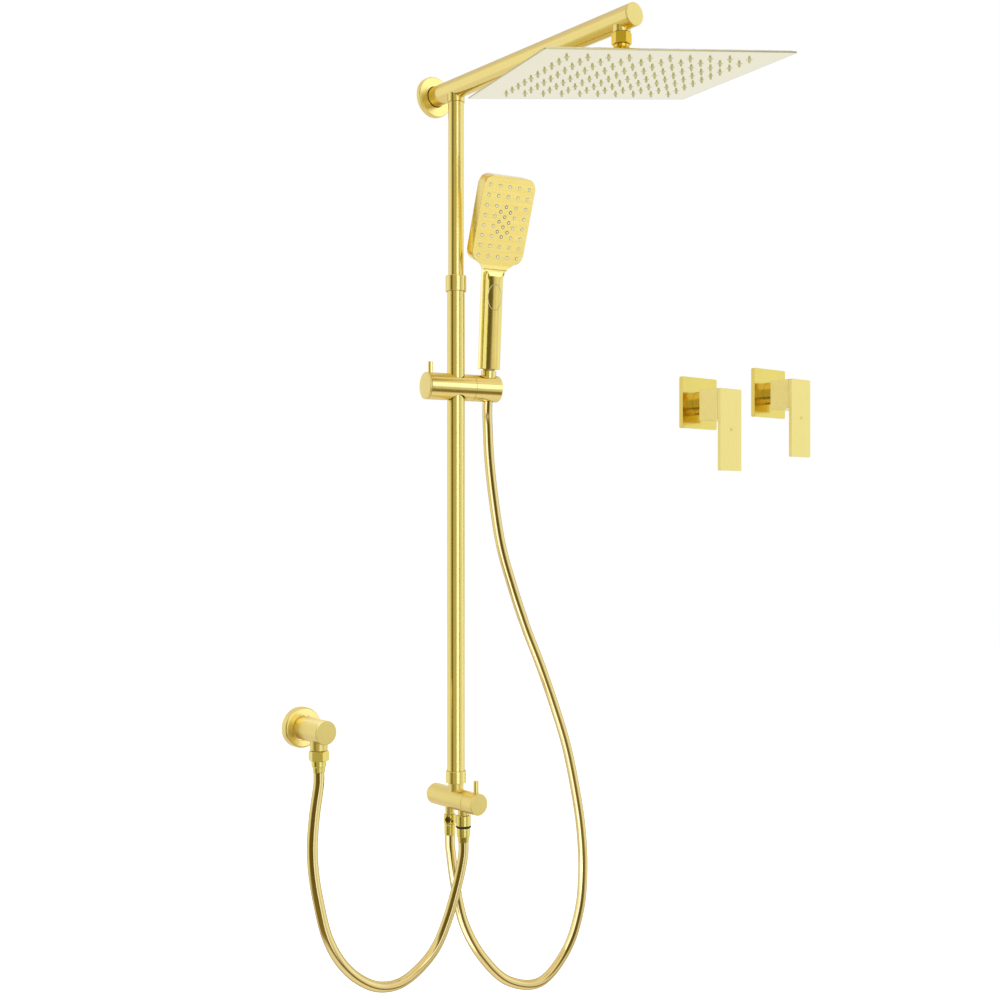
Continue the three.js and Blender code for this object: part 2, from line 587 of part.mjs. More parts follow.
function buildElbow() {
  const elbow = groupAt(column, [ELBOW_X, 0, ELBOW_Z]);
  add(elbow, "elbow_flange", wallFlange(ELBOW_FLANGE_R, ELBOW_FLANGE_DEPTH, ELBOW_R + 0.4), brushedGold);
  const barrel = outward(rod(ELBOW_R, 0, ELBOW_END));
  const outlet = moved(rod(11.5, -24.6, 0), [0, -ELBOW_OUTLET_Y, 0]);
  const inletBore = outward(rod(9, -5, ELBOW_OUTLET_Y + 6, 16));
  const outletBore = moved(rod(6, -30, 0, 8), [0, -ELBOW_OUTLET_Y, 0]);
  add(elbow, "elbow_body", cut(join(barrel, outlet), inletBore, outletBore), brushedGold);

  const drop = groupAt(column, [ELBOW_X, -ELBOW_OUTLET_Y, 0]);
  const nutR = 13.6;
  const nut = cut(rod(nutR, ELBOW_NUT_FOOT, ELBOW_NUT_TOP, 6), rod(4, -930, -900, 8));
  add(drop, "elbow_nut", nut, brushedGold);
  const ferruleTop = ELBOW_NUT_FOOT - GAP;
  add(drop, "elbow_ferrule", turned([
    [0, ELBOW_HOSE_TOP], [8, ELBOW_HOSE_TOP], [8.4, -929], [9.6, -928], [10, ferruleTop], [0, ferruleTop],
  ], 16), brushedGold);
}

function buildTap(prefix, x, z) {
  const tap = groupAt(column, [x, 0, z]);
  const plate = slab(roundedRectangle(TAP_PLATE, TAP_PLATE, 2), -TAP_PLATE_DEPTH, TAP_PLATE_DEPTH, 2);
  const stemHole = outward(rod(TAP_STEM_R + GAP, -5, 20));
  add(tap, prefix + "_plate", cut(plate, stemHole), brushedGold);
  add(tap, prefix + "_sleeve", outward(ring(12, TAP_STEM_R, 0, TAP_STEM_END)), brushedGold);
  const spindle = turned([
    [0, 0], [12 - GAP, 0], [12 - GAP, TAP_STEM_END - 2], [4, TAP_STEM_END - 2], [4, TAP_STEM_END + 20],
    [0, TAP_STEM_END + 20],
  ], FEW_SIDES);
  add(tap, prefix + "_valve", outward(spindle), brass);

  const [wide, deep, high] = TAP_BLOCK;
  const blockBack = -TAP_STEM_END - GAP;
  const block = box(wide, deep, high, [0, blockBack - deep / 2, -TAP_BLOCK_DROP]);
  const spindleHole = outward(rod(4 + GAP, 0, TAP_STEM_END + 21, FEW_SIDES));
  add(tap, prefix + "_block", cut(block, spindleHole), brushedGold);
  const bladeBack = blockBack - deep - GAP;
  const bladeZ = high / 2 - TAP_BLOCK_DROP - TAP_BLADE_LONG / 2;
  const blade = box(wide, TAP_BLADE_THICK, TAP_BLADE_LONG, [0, bladeBack - TAP_BLADE_THICK / 2, bladeZ]);
  const dot = (radius, from, to) => moved(outward(rod(radius, from, to, 12)), [0, bladeBack, bladeZ]);
  const pocket = dot(3.5 + GAP, TAP_BLADE_THICK - 1, TAP_BLADE_THICK + 2);
  add(tap, prefix + "_blade", cut(blade, pocket), brushedGold);
  add(tap, prefix + "_index", dot(3.5, TAP_BLADE_THICK - 1 + GAP, TAP_BLADE_THICK), polishedGold);
}

buildArm();
buildRainHead();
buildRiser();
buildDiverter();
buildHandset(buildSlider());
buildElbow();
buildTap("hot", HOT_X, HOT_Z);
buildTap("cold", COLD_X, COLD_Z);

const holderX = HOLDER_AT * Math.cos(SLIDER_YAW);
const holderY = -STANDOFF + HOLDER_AT * Math.sin(SLIDER_YAW);
const coneFoot = GAP - CONE_FOOT;
const down = [0, 0, -1];
const coneWay = [
  -Math.sin(HANDSET_LEAN) * Math.sin(SLIDER_YAW),
  Math.sin(HANDSET_LEAN) * Math.cos(SLIDER_YAW),
  -Math.cos(HANDSET_LEAN),
];
const hoseStart = [holderX, holderY, SLIDER_Z].map((value, i) => value + coneFoot * coneWay[i]);
const rearHoseEnd = [0, -REAR_UNION_Y, REAR_HOSE_TOP - GAP];
const handsetHose = hose(hoseStart, coneWay, HANDSET_HOSE, rearHoseEnd, down, HOSE_STEPS);
add(column, "handset_hose", handsetHose, polishedGold);
const elbowHoseStart = [ELBOW_X, -ELBOW_OUTLET_Y, ELBOW_HOSE_TOP - GAP];
const frontHoseEnd = [0, -FRONT_UNION_Y, FRONT_HOSE_TOP - GAP];
const supplyHose = hose(elbowHoseStart, down, SUPPLY_HOSE, frontHoseEnd, down, SUPPLY_STEPS);
add(column, "supply_hose", supplyHose, polishedGold);

export default column;
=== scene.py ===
"""Rainfall shower column with a hand shower, a wall elbow and two wall taps: looks built round the CAD frame.

Sizes are in millimetres until a mesh is made. X runs right along the wall, Y into the wall and Z up.
"""

import json
import math

import bmesh
import bpy
from mathutils import Matrix, Vector


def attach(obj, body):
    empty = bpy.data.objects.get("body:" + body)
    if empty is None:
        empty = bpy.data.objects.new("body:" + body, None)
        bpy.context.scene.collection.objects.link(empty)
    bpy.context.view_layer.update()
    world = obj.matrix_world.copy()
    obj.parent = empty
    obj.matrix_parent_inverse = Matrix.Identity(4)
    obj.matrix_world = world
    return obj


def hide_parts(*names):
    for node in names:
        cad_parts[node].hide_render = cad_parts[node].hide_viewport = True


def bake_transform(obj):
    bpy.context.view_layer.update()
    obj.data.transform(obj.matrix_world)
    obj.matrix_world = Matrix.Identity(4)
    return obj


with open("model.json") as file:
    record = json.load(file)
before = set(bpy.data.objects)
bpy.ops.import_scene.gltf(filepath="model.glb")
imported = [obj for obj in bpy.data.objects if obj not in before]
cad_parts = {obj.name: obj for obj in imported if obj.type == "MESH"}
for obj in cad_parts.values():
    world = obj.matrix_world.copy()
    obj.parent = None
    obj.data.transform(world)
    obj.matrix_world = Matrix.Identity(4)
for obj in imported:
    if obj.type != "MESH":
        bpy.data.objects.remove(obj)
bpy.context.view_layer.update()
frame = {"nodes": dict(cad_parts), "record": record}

MM = 0.001
ON_AXIS = 1e-6  # a radius in millimetres that counts as on the axis
DOUBLED = 1e-6  # metres between points that are one point
LEVEL = 1e-7  # metres that a level edge may rise
OUT = Matrix.Rotation(math.pi / 2, 4, "X")  # a piece's own +Z to -Y, out of the wall
RIGHT = Matrix.Rotation(math.pi / 2, 4, "Y")  # a piece's own +Z to +X

STANDOFF = 55  # riser's axis from the wall
ARM_R, ARM_BORE, ARM_END = 14, 12, 404
OUTLET_Y = 381  # rain head's outlet, out from the wall
UPPER_R, LOWER_R = 11, 12.5
UPPER_FOOT = -480
LOWER_TOP, LOWER_FOOT = -283.9, -970
LOCK_R, LOCK_TOP, LOCK_FOOT = 14.75, -264.4, -286.4
COLLAR_R, COLLAR_TOP, COLLAR_FOOT = 14.5, -961, -978

NUT_R, NUT_TOP, NUT_FOOT = 12.4, -17, -31
BALL_Z = -49
HEAD_SIDE = 304
HEAD_TOP, HEAD_FOOT = -16.8, -20.4  # below the ball's centre
HEAD_TURN = (5.16, -7.78, -22.79)  # about X, Y and Z
HEAD_ROWS, HEAD_PITCH = 10, 25

SLIDER_Z, SLIDER_R, SLIDER_YAW = -421, 19, -12
SLIDER_SEAM = 24  # where the turning holder starts
PIN_AT = -39.5
HOLDER_AT = 51  # hand shower's axis along the slider
HANDSET_LEAN = 4.5
FACE_LEAN = 18
BUTTON_Z = 129
SCOOP_Y, SCOOP_Z = -31, 166.5  # the axis of the hollow under the face
JET_WIDE, JET_HIGH, JET_TOP = 15.2, 13.9, 48  # spacing of the hand shower's jets, and its highest row

DIVERTER_Z, BARREL_R = -1001, 15
REAR_Y, FRONT_Y, KNOB_Y = -41, -72, -100  # the two outlets and the knob's pin, out from the wall
REAR_TOP, REAR_FOOT = -1025, -1038
FRONT_TOP, FRONT_FOOT = -1021, -1035.6

ELBOW_X, ELBOW_Z, ELBOW_R = -221.7, -883, 15.8
ELBOW_Y = -49  # its outlet, out from the wall
ELBOW_NUT_TOP, ELBOW_NUT_FOOT = -907.9, -921
HOSE_R = 7
HOSE_STRAIGHT = 14  # how far a hose runs straight from each end
HOSE_STEP = 5  # between the rings of its tube

PLATE_SIDE, LEVER_WIDE = 88, 54
BLADE_BACK, BLADE_FRONT = 70.6, 76.6  # out from the wall

CAMERA_YAW = -40
TO_CAMERA = Vector((-0.6428, -0.7660, 0))
CAMERA_RIGHT = Vector((0.7660, -0.6428, 0))


def at(x, y, z):
    return Matrix.Translation((x * MM, y * MM, z * MM))


def turn(degrees, axis):
    return Matrix.Rotation(math.radians(degrees), 4, axis)


# ---------------------------------------------------------------- camera
def make_camera():
    data = bpy.data.cameras.new("camera")
    data.sensor_width = 36
    data.lens = 45.9
    data.shift_y = 0.017
    data.clip_start = 0.05
    data.clip_end = 100
    camera = bpy.data.objects.new("camera", data)
    camera.location = (-1.108, -1.472, -0.604)
    camera.rotation_euler = (math.radians(90), 0, math.radians(CAMERA_YAW))
    bpy.context.scene.collection.objects.link(camera)
    bpy.context.scene.camera = camera


# ---------------------------------------------------------------- meshes
def link(name, mesh):
    thing = bpy.data.objects.new(name, mesh)
    bpy.context.scene.collection.objects.link(thing)
    return thing


def object_from(name, bm):
    bmesh.ops.recalc_face_normals(bm, faces=bm.faces)
    mesh = bpy.data.meshes.new(name)
    bm.to_mesh(mesh)
    bm.free()
    return link(name, mesh)


def filleted(points, closed):
    """Points of [x, y] or [x, y, radius]; a corner with a radius becomes an arc."""
    out = []
    count = len(points)
    for i, point in enumerate(points):
        here = Vector(point[:2])
        radius = point[2] if len(point) > 2 else 0
        if not radius or (not closed and i in (0, count - 1)):
            out.append(here)
            continue
        back = (Vector(points[i - 1][:2]) - here).normalized()
        ahead = (Vector(points[(i + 1) % count][:2]) - here).normalized()
        angle = back.angle(ahead)
        cut = radius / math.tan(angle / 2)
        middle = here + (back + ahead).normalized() * radius / math.sin(angle / 2)
        start, end = here + back * cut - middle, here + ahead * cut - middle
        sweep = math.atan2(start.x * end.y - start.y * end.x, start.dot(end))
        steps = max(2, math.ceil(abs(sweep) / math.radians(18)))
        for k in range(steps + 1):
            a = sweep * k / steps
            c, s = math.cos(a), math.sin(a)
            out.append(middle + Vector((start.x * c - start.y * s, start.x * s + start.y * c)))
    return out


def circle(radius, sides, x=0, y=0):
    angles = [2 * math.pi * i / sides for i in range(sides)]
    return [(x + radius * math.cos(angle), y + radius * math.sin(angle)) for angle in angles]


def row_of(bm, points, z):
    return [bm.verts.new((x * MM, y * MM, z * MM)) for x, y in points]


def wrap(bm, rows, ring=False):
    """Faces from each row of points to the next; a row of one point is a tip."""
    for low, high in zip(rows, rows[1:] + rows[:1] if ring else rows[1:]):
        count = max(len(low), len(high))
        for i in range(count if count > 1 else 0):
            j = (i + 1) % count
            if len(low) == 1:
                bm.faces.new((low[0], high[j], high[i]))
            elif len(high) == 1:
                bm.faces.new((low[i], low[j], high[0]))
            else:
                bm.faces.new((low[i], low[j], high[j], high[i]))


def cap(bm, rows):
    return bm.faces.new(rows[0][::-1]), bm.faces.new(rows[-1])


def lathe(name, profile, sides=96, places=((0, 0),)):
    """Turned about Z at each place. Its [radius, height, fillet] points run axis to axis, or form a ring."""
    ring = profile[0][0] > 0
    points = filleted(profile, ring)
    bm = bmesh.new()
    for x, y in places:
        rows = []
        for radius, z in points:
            rows.append(row_of(bm, [(x, y)] if radius < ON_AXIS else circle(radius, sides, x, y), z))
        wrap(bm, rows, ring)
    return object_from(name, bm)


def frustum(name, low_outline, low, high_outline, high, edge=0.0, steps=2):
    """A solid between two outlines of the same count of points, with rounded rims."""
    bm = bmesh.new()
    rows = [row_of(bm, filleted(low_outline, True), low), row_of(bm, filleted(high_outline, True), high)]
    cap(bm, rows)
    wrap(bm, rows)
    if edge:
        rims = [e for e in bm.edges if abs(e.verts[0].co.z - e.verts[1].co.z) < LEVEL]
        bmesh.ops.bevel(bm, geom=rims, offset=edge * MM, segments=steps, profile=0.5, affect="EDGES")
    return object_from(name, bm)


def slab(name, outline, low, high, edge=0.0, steps=2):
    """An outline in X and Y from z = low to z = high, with rounded rims."""
    return frustum(name, outline, low, outline, high, edge, steps)


def cylinders(name, places, radius, low, high, sides=24):
    """Many short cylinders along Z as one mesh."""
    bm = bmesh.new()
    for x, y in places:
        rows = [row_of(bm, circle(radius, sides, x, y), z) for z in (low, high)]
        cap(bm, rows)
        wrap(bm, rows)
    return object_from(name, bm)


def rectangle(wide, high, corner):
    x, y = wide / 2, high / 2
    return [[-x, -y, corner], [x, -y, corner], [x, y, corner], [-x, y, corner]]


def square(side, corner):
    return rectangle(side, side, corner)


def hexagon(radius, corner, phase=0):
    angles = [math.radians(60 * i + phase) for i in range(6)]
    return [[radius * math.cos(angle), radius * math.sin(angle), corner] for angle in angles]


def bake(thing):
    """Turns the object's modifiers into its mesh."""
    bpy.context.view_layer.update()
    evaluated = thing.evaluated_get(bpy.context.evaluated_depsgraph_get())
    mesh = bpy.data.meshes.new_from_object(evaluated)
    mesh.name = thing.name
    thing.modifiers.clear()
    thing.data = mesh
    return thing


def combine(thing, others, how):
    """Boolean of thing with each of the others, which are used up. All are in one frame."""
    for other in others:
        modifier = thing.modifiers.new("cut", "BOOLEAN")
        modifier.operation = how
        modifier.solver = "EXACT"
        modifier.object = other
        bake(thing)
        bpy.data.objects.remove(other)
    return thing


def joined(name, things):
    """Several meshes as one object, without a boolean."""
    bm = bmesh.new()
    for thing in things:
        bm.from_mesh(thing.data)
        bpy.data.objects.remove(thing)
    mesh = bpy.data.meshes.new(name)
    bm.to_mesh(mesh)
    bm.free()
    return link(name, mesh)


def shifted(thing, matrix):
    thing.data.transform(matrix)
    return thing


def finish_piece(thing, place, body, material, nodes=(), sharp=40):
    """Shades a mesh, puts it in place, gives it its material, hangs it under its body's empty and hides the
    CAD nodes it replaces.
    """
    bm = bmesh.new()
    bm.from_mesh(thing.data)
    bmesh.ops.remove_doubles(bm, verts=bm.verts, dist=DOUBLED)
    for face in bm.faces:
        face.smooth = True
    for edge in bm.edges:
        if len(edge.link_faces) == 2:
            edge.smooth = edge.calc_face_angle(0) < math.radians(sharp)
    bm.to_mesh(thing.data)
    bm.free()
    thing.data.materials.clear()
    thing.data.materials.append(material)
    normals = thing.modifiers.new("normals", "WEIGHTED_NORMAL")
    normals.keep_sharp = True
    normals.weight = 100
    thing.matrix_world = place
    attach(thing, body)
    if nodes:
        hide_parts(*nodes)
    return thing


# ---------------------------------------------------------------- materials
def new_material(name, **sockets):
    material = bpy.data.materials.new(name)
    material.use_nodes = True
    shader = material.node_tree.nodes["Principled BSDF"]
    for socket, value in sockets.items():
        shader.inputs[socket.replace("_", " ")].default_value = value
    return material, material.node_tree, shader


def noise(tree, scale, detail=3.0):
    """Noise with its own scale along each of the piece's axes."""
    source = tree.nodes.new("ShaderNodeTexCoord")
    mapping = tree.nodes.new("ShaderNodeMapping")
    mapping.inputs["Scale"].default_value = scale
    texture = tree.nodes.new("ShaderNodeTexNoise")
    texture.inputs["Scale"].default_value = 1.0
    texture.inputs["Detail"].default_value = detail
    tree.links.new(source.outputs["Object"], mapping.inputs["Vector"])
    tree.links.new(mapping.outputs["Vector"], texture.inputs["Vector"])
    return texture.outputs["Fac"]


def ranged(tree, value, low, high):
    """The middle of a noise, from 0.3 to 0.7, spread from low to high."""
    node = tree.nodes.new("ShaderNodeMapRange")
    node.inputs["From Min"].default_value = 0.3
    node.inputs["From Max"].default_value = 0.7
    node.inputs["To Min"].default_value = low
    node.inputs["To Max"].default_value = high
    tree.links.new(value, node.inputs["Value"])
    return node.outputs["Result"]


def mixed(tree, factor, first, second):
    node = tree.nodes.new("ShaderNodeMix")
    node.data_type = "RGBA"
    node.inputs["A"].default_value = (*first, 1)
    node.inputs["B"].default_value = (*second, 1)
    tree.links.new(factor, node.inputs["Factor"])
    return node.outputs["Result"]


def bumped(tree, shader, height, strength, distance):
    node = tree.nodes.new("ShaderNodeBump")
    node.inputs["Strength"].default_value = strength
    node.inputs["Distance"].default_value = distance
    tree.links.new(height, node.inputs["Height"])
    tree.links.new(node.outputs["Normal"], shader.inputs["Normal"])


def brushed(name, light, dark, rough, grain, bump=0.25, **sockets):
    """Brushed metal: fine streaks set by the grain's three scales, with slow changes of tone and gloss."""
    material, tree, shader = new_material(name, Metallic=1.0, **sockets)
    streaks = noise(tree, grain, 4.0)
    patches = noise(tree, (35, 35, 35), 2.0)
    tone = tree.nodes.new("ShaderNodeMath")
    tone.operation = "MULTIPLY_ADD"
    tone.inputs[1].default_value = 0.6
    tree.links.new(streaks, tone.inputs[0])
    tree.links.new(ranged(tree, patches, 0.0, 0.4), tone.inputs[2])
    tree.links.new(mixed(tree, tone.outputs[0], dark, light), shader.inputs["Base Color"])
    tree.links.new(ranged(tree, streaks, rough - 0.05, rough + 0.06), shader.inputs["Roughness"])
    bumped(tree, shader, streaks, bump, 0.00004)
    return material


def polished(name, light, dark, rough, **sockets):
    """Polished metal with faint cloudy smears in its gloss."""
    material, tree, shader = new_material(name, Metallic=1.0, **sockets)
    smears = noise(tree, (60, 60, 60), 4.0)
    tree.links.new(mixed(tree, smears, dark, light), shader.inputs["Base Color"])
    tree.links.new(ranged(tree, smears, rough, rough + 0.05), shader.inputs["Roughness"])
    bumped(tree, shader, noise(tree, (220, 220, 220)), 0.05, 0.00003)
    return material


def moulded(name, light, dark, rough):
    """Rubber or plastic with a fine mould texture."""
    material, tree, shader = new_material(name)
    grain = noise(tree, (500, 500, 500))
    tree.links.new(mixed(tree, grain, dark, light), shader.inputs["Base Color"])
    tree.links.new(ranged(tree, grain, rough - 0.06, rough + 0.06), shader.inputs["Roughness"])
    bumped(tree, shader, grain, 0.3, 0.0001)
    return material


GOLD = (0.93, 0.765, 0.27)
GOLD_DARK = (0.86, 0.69, 0.215)
turned_gold = brushed(
    "turned_gold", GOLD, (0.9, 0.73, 0.245), 0.17, (30, 30, 2600), 0.08, Specular_Tint=(0.8, 0.8, 0.8, 1)
)
along_gold = brushed("along_gold", GOLD, GOLD_DARK, 0.2, (1800, 1800, 25))
flat_gold = brushed("flat_gold", GOLD, (0.905, 0.74, 0.25), 0.28, (3600, 60, 60), 0.05)
plate_gold = brushed("plate_gold", (0.84, 0.67, 0.175), (0.78, 0.6, 0.14), 0.14, (2200, 30, 30), 0.2)
matte_gold = brushed("matte_gold", GOLD, GOLD_DARK, 0.34, (40, 40, 2200), 0.35)
face_gold = brushed("face_gold", GOLD, GOLD_DARK, 0.36, (20, 2200, 20), 0.3)
bright_gold = polished("bright_gold", (0.88, 0.62, 0.07), (0.8, 0.54, 0.05), 0.07)
hose_gold = polished(
    "hose_coating", (0.93, 0.76, 0.34), (0.86, 0.68, 0.27), 0.12, Specular_Tint=(0.3, 0.27, 0.2, 1)
)
# A pale gold for the mode button's rim: a painted highlight where light catches the button's edge.
painted_highlight_gold = polished("painted_highlight_gold", (0.97, 0.87, 0.5), (0.92, 0.82, 0.45), 0.25)
union_gold = brushed("union_gold", (0.88, 0.74, 0.22), (0.8, 0.66, 0.17), 0.18, (30, 30, 2600))
bronze = brushed("bronze", (0.32, 0.22, 0.1), (0.22, 0.14, 0.06), 0.35, (900, 900, 40))
cream_steel = polished("cream_steel", (0.837, 0.773, 0.46), (0.81, 0.742, 0.433), 0.06)
edge_steel = brushed("edge_steel", (0.6, 0.53, 0.26), (0.5, 0.43, 0.2), 0.34, (40, 40, 2500))
olive = moulded("olive_silicone", (0.5, 0.49, 0.24), (0.43, 0.42, 0.19), 0.4)
cream_rubber = moulded("cream_silicone", (0.82, 0.79, 0.64), (0.75, 0.72, 0.56), 0.4)
# Dark grey for the rings round the inner jets: painted shade of the deep gaps round their centres.
gap_shade_rubber = moulded("painted_gap_shade", (0.24, 0.215, 0.13), (0.18, 0.16, 0.09), 0.35)
black_rubber = moulded("black_rubber", (0.024, 0.018, 0.008), (0.015, 0.011, 0.005), 0.8)
nylon = moulded("nylon", (0.8, 0.78, 0.7), (0.74, 0.72, 0.64), 0.5)
brass = brushed("raw_brass", (0.62, 0.47, 0.2), (0.52, 0.38, 0.14), 0.4, (60, 60, 1500))
mark_grey = moulded("mark_grey", (0.34, 0.29, 0.2), (0.28, 0.24, 0.16), 0.5)

SLOT_LOOKS = {
    "raw_brass": brass, "white_nylon": nylon, "black_rubber": black_rubber, "olive_rubber": olive,
    "clear_rubber": cream_rubber, "polished_steel": cream_steel, "hose_gold": hose_gold,
    "polished_gold": bright_gold, "brushed_gold": turned_gold,
}


def repaint_nodes():
    """Gives every CAD node the look of its slot. The visible ones are then replaced by finer meshes."""
    slot_of = {entry["node"]: entry["material_slot"] for entry in frame["record"]["subparts"]}
    for name, thing in frame["nodes"].items():
        look = SLOT_LOOKS[slot_of[name]]
        for material_slot in thing.material_slots:
            material_slot.link = "OBJECT"
            material_slot.material = look


# ---------------------------------------------------------------- hoses
HANDSET_HOSE = [
    (48, -67, -475), (50, -68, -520), (56, -71, -580), (67, -74, -645), (85, -76, -700), (108, -79, -760),
    (136, -81, -820), (162, -82, -880), (185, -83, -940), (203, -83, -1005), (216, -83, -1070),
    (223, -80, -1135), (219, -77, -1195), (196, -73, -1252), (147, -69, -1290), (92, -62, -1278),
    (48, -55, -1235), (19, -49, -1182), (6, -45, -1123), (1, -42, -1080),
]
SUPPLY_HOSE = [
    (-225, -50, -967), (-231, -53, -992), (-236, -56, -1030), (-235, -58, -1065), (-229, -61, -1105),
    (-218, -63, -1148), (-199, -65, -1184), (-172, -66, -1212), (-140, -67, -1230), (-106, -68, -1233),
    (-73, -68, -1220), (-46, -69, -1197), (-27, -70, -1163), (-14, -71, -1128), (-4, -72, -1093),
]


def centripetal(places, per_span=10):
    """Centripetal Catmull-Rom through the places, as the CAD model draws its hoses."""
    points = [Vector(p) for p in places]
    points = [points[0] * 2 - points[1], *points, points[-1] * 2 - points[-2]]
    out = []
    for p0, p1, p2, p3 in zip(points, points[1:], points[2:], points[3:]):
        d0, d1, d2 = (math.sqrt((b - a).length) for a, b in ((p0, p1), (p1, p2), (p2, p3)))
        m1 = ((p1 - p0) / d0 - (p2 - p0) / (d0 + d1) + (p2 - p1) / d1) * d1
        m2 = ((p2 - p1) / d1 - (p3 - p1) / (d1 + d2) + (p3 - p2) / d2) * d1
        for k in range(per_span):
            t = k / per_span
            out.append(
                p1 * (2 * t**3 - 3 * t**2 + 1) + m1 * (t**3 - 2 * t**2 + t)
                + p2 * (3 * t**2 - 2 * t**3) + m2 * (t**3 - t**2)
            )
    out.append(Vector(places[-1]))
    return out


def evenly(points, step):
    """The same line as points spaced evenly along it, about a step apart."""
    lengths = [0.0]
    for a, b in zip(points, points[1:]):
        lengths.append(lengths[-1] + (b - a).length)
    count = max(2, round(lengths[-1] / step))
    out, k = [], 0
    for i in range(count + 1):
        want = lengths[-1] * i / count
        while k < len(points) - 2 and lengths[k + 1] < want:
            k += 1
        span = lengths[k + 1] - lengths[k]
        out.append(points[k].lerp(points[k + 1], min(1.0, (want - lengths[k]) / span)))
    return out


def directions(line):
    """The way a line runs at each of its points."""
    last = len(line) - 1
    return [(line[min(i + 1, last)] - line[max(i - 1, 0)]).normalized() for i in range(last + 1)]


def tube(name, line, ways, radius, sides=32):
    """A closed tube round a line in millimetres, made in the frame's own axes."""
    bm = bmesh.new()
    side = ways[0].orthogonal().normalized()
    ring = circle(1, sides)
    rows = []
    for here, way in zip(line, ways):
        side = (side - way * side.dot(way)).normalized()
        other = way.cross(side)
        rows.append([bm.verts.new((here + (side * u + other * v) * radius) * MM) for u, v in ring])
    wrap(bm, rows)
    for end in cap(bm, rows):
        for edge in end.edges:
            edge.smooth = False
    return object_from(name, bm)


def hose_piece(name, line, ways):
    """One stretch of hose: a smooth tube along its line, in the hose's gold."""
    thing = tube(name, line, ways, HOSE_R)
    for face in thing.data.polygons:
        face.use_smooth = len(face.vertices) == 4
    thing.data.materials.append(hose_gold)
    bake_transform(thing)
    return thing


def route(ends, places):
    """Evenly spaced points along a hose's route, which starts and ends straight."""
    (top, first), (foot, last) = ends
    points = [top, top + first * HOSE_STRAIGHT, *places, foot + last * HOSE_STRAIGHT, foot]
    return evenly(centripetal(points), HOSE_STEP)


def build_hoses():
    lean, yaw = math.radians(HANDSET_LEAN), math.radians(SLIDER_YAW)
    way = Vector((-math.sin(lean) * math.sin(yaw), math.sin(lean) * math.cos(yaw), -math.cos(lean)))
    hold = Vector((HOLDER_AT * math.cos(yaw), -STANDOFF + HOLDER_AT * math.sin(yaw), SLIDER_Z))
    foot = Vector((0, REAR_Y, -1054.3))
    down = Vector((0, 0, -1))
    line = route(((hold + way * 17.3, way), (foot, down)), HANDSET_HOSE)
    ways = directions(line)
    cuts = [0, 7, 15, 23]  # the points where one piece ends and the next starts
    for k in range(3):
        span = slice(cuts[k], cuts[k + 1] + 1)
        part = line[span]
        name = f"handset_hose_top_{k + 1}"
        hose_piece(name, part, ways[span])
    part = line[cuts[3]:]
    main = hose_piece("handset_hose_run", part, ways[cuts[3]:])
    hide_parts("handset_hose")

    top = Vector((ELBOW_X, ELBOW_Y, -936.3))
    line = route(((top, down), (Vector((0, FRONT_Y, -1058.9)), down)), SUPPLY_HOSE)
    ways = directions(line)
    supply = hose_piece("supply_hose_run", line, ways)
    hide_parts("supply_hose")


# ---------------------------------------------------------------- arm and riser
def gold(thing, place, body, nodes, material=turned_gold):
    return finish_piece(thing, place, body, material, nodes)


def flange(name, outer, depth, bore, edge):
    """A round cover with a 3 mm wall, open at the back."""
    inner = outer - 3
    return lathe(name, [
        [inner, 0], [outer, 0, 0.2], [outer, depth, edge], [bore, depth, 0.3], [bore, depth - 3],
        [inner, depth - 3],
    ], 128)


def tunnel(name, radius, low, high, sides):
    """A plain round bar along its own Z, to cut with or to add."""
    return lathe(name, [[0, low], [radius, low], [radius, high], [0, high]], sides)


def build_arm():
    gold(flange("arm_flange_cover", 28.5, 8, 14.9, 1.6), OUT, "wall_set", ["arm_flange"], matte_gold)
    tube_solid = lathe("arm_tube", [
        [ARM_BORE, 3.3], [ARM_R, 3.3], [ARM_R, 401.6, 0.25], [ARM_BORE, 401.6],
    ], 128)
    gold(tube_solid, OUT, "wall_set", ["shower_arm"])
    plug = lathe("arm_cap", [
        [0, 394], [11.7, 394], [11.7, 402], [ARM_R, 402, 0.2], [ARM_R, ARM_END, 0.7], [0, ARM_END],
    ], 128)
    gold(plug, OUT, "wall_set", ["arm_end_cap"], flat_gold)

    def arm_space():
        return shifted(tunnel("space", ARM_R + 0.1, -40, 40, 128), OUT)

    saddle = lathe("outlet_stub", [[0, -16.8], [11.2, -16.8, 0.5], [11.2, -4], [0, -4]])
    combine(saddle, [arm_space()], "DIFFERENCE")
    thread = lathe("thread", [[5, NUT_FOOT], [8, NUT_FOOT, 0.4], [8, -13], [5, -13]], 64)
    stub = joined("outlet_stub", [saddle, thread])
    gold(stub, at(0, -OUTLET_Y, 0), "wall_set", ["outlet_spigot"])

    socket = lathe("riser_mitre", [[8.7, -20], [12.2, -20, 0.4], [12.2, -3], [8.7, -3]])
    combine(socket, [arm_space()], "DIFFERENCE")
    gold(socket, at(0, -STANDOFF, 0), "wall_set", ["riser_socket"])
    upper = lathe("upper_riser_tube", [
        [9.2, UPPER_FOOT], [UPPER_R, UPPER_FOOT, 0.3], [UPPER_R, -20.2, 0.3], [9.2, -20.2],
    ])
    gold(upper, at(0, -STANDOFF, 0), "wall_set", ["upper_riser"])


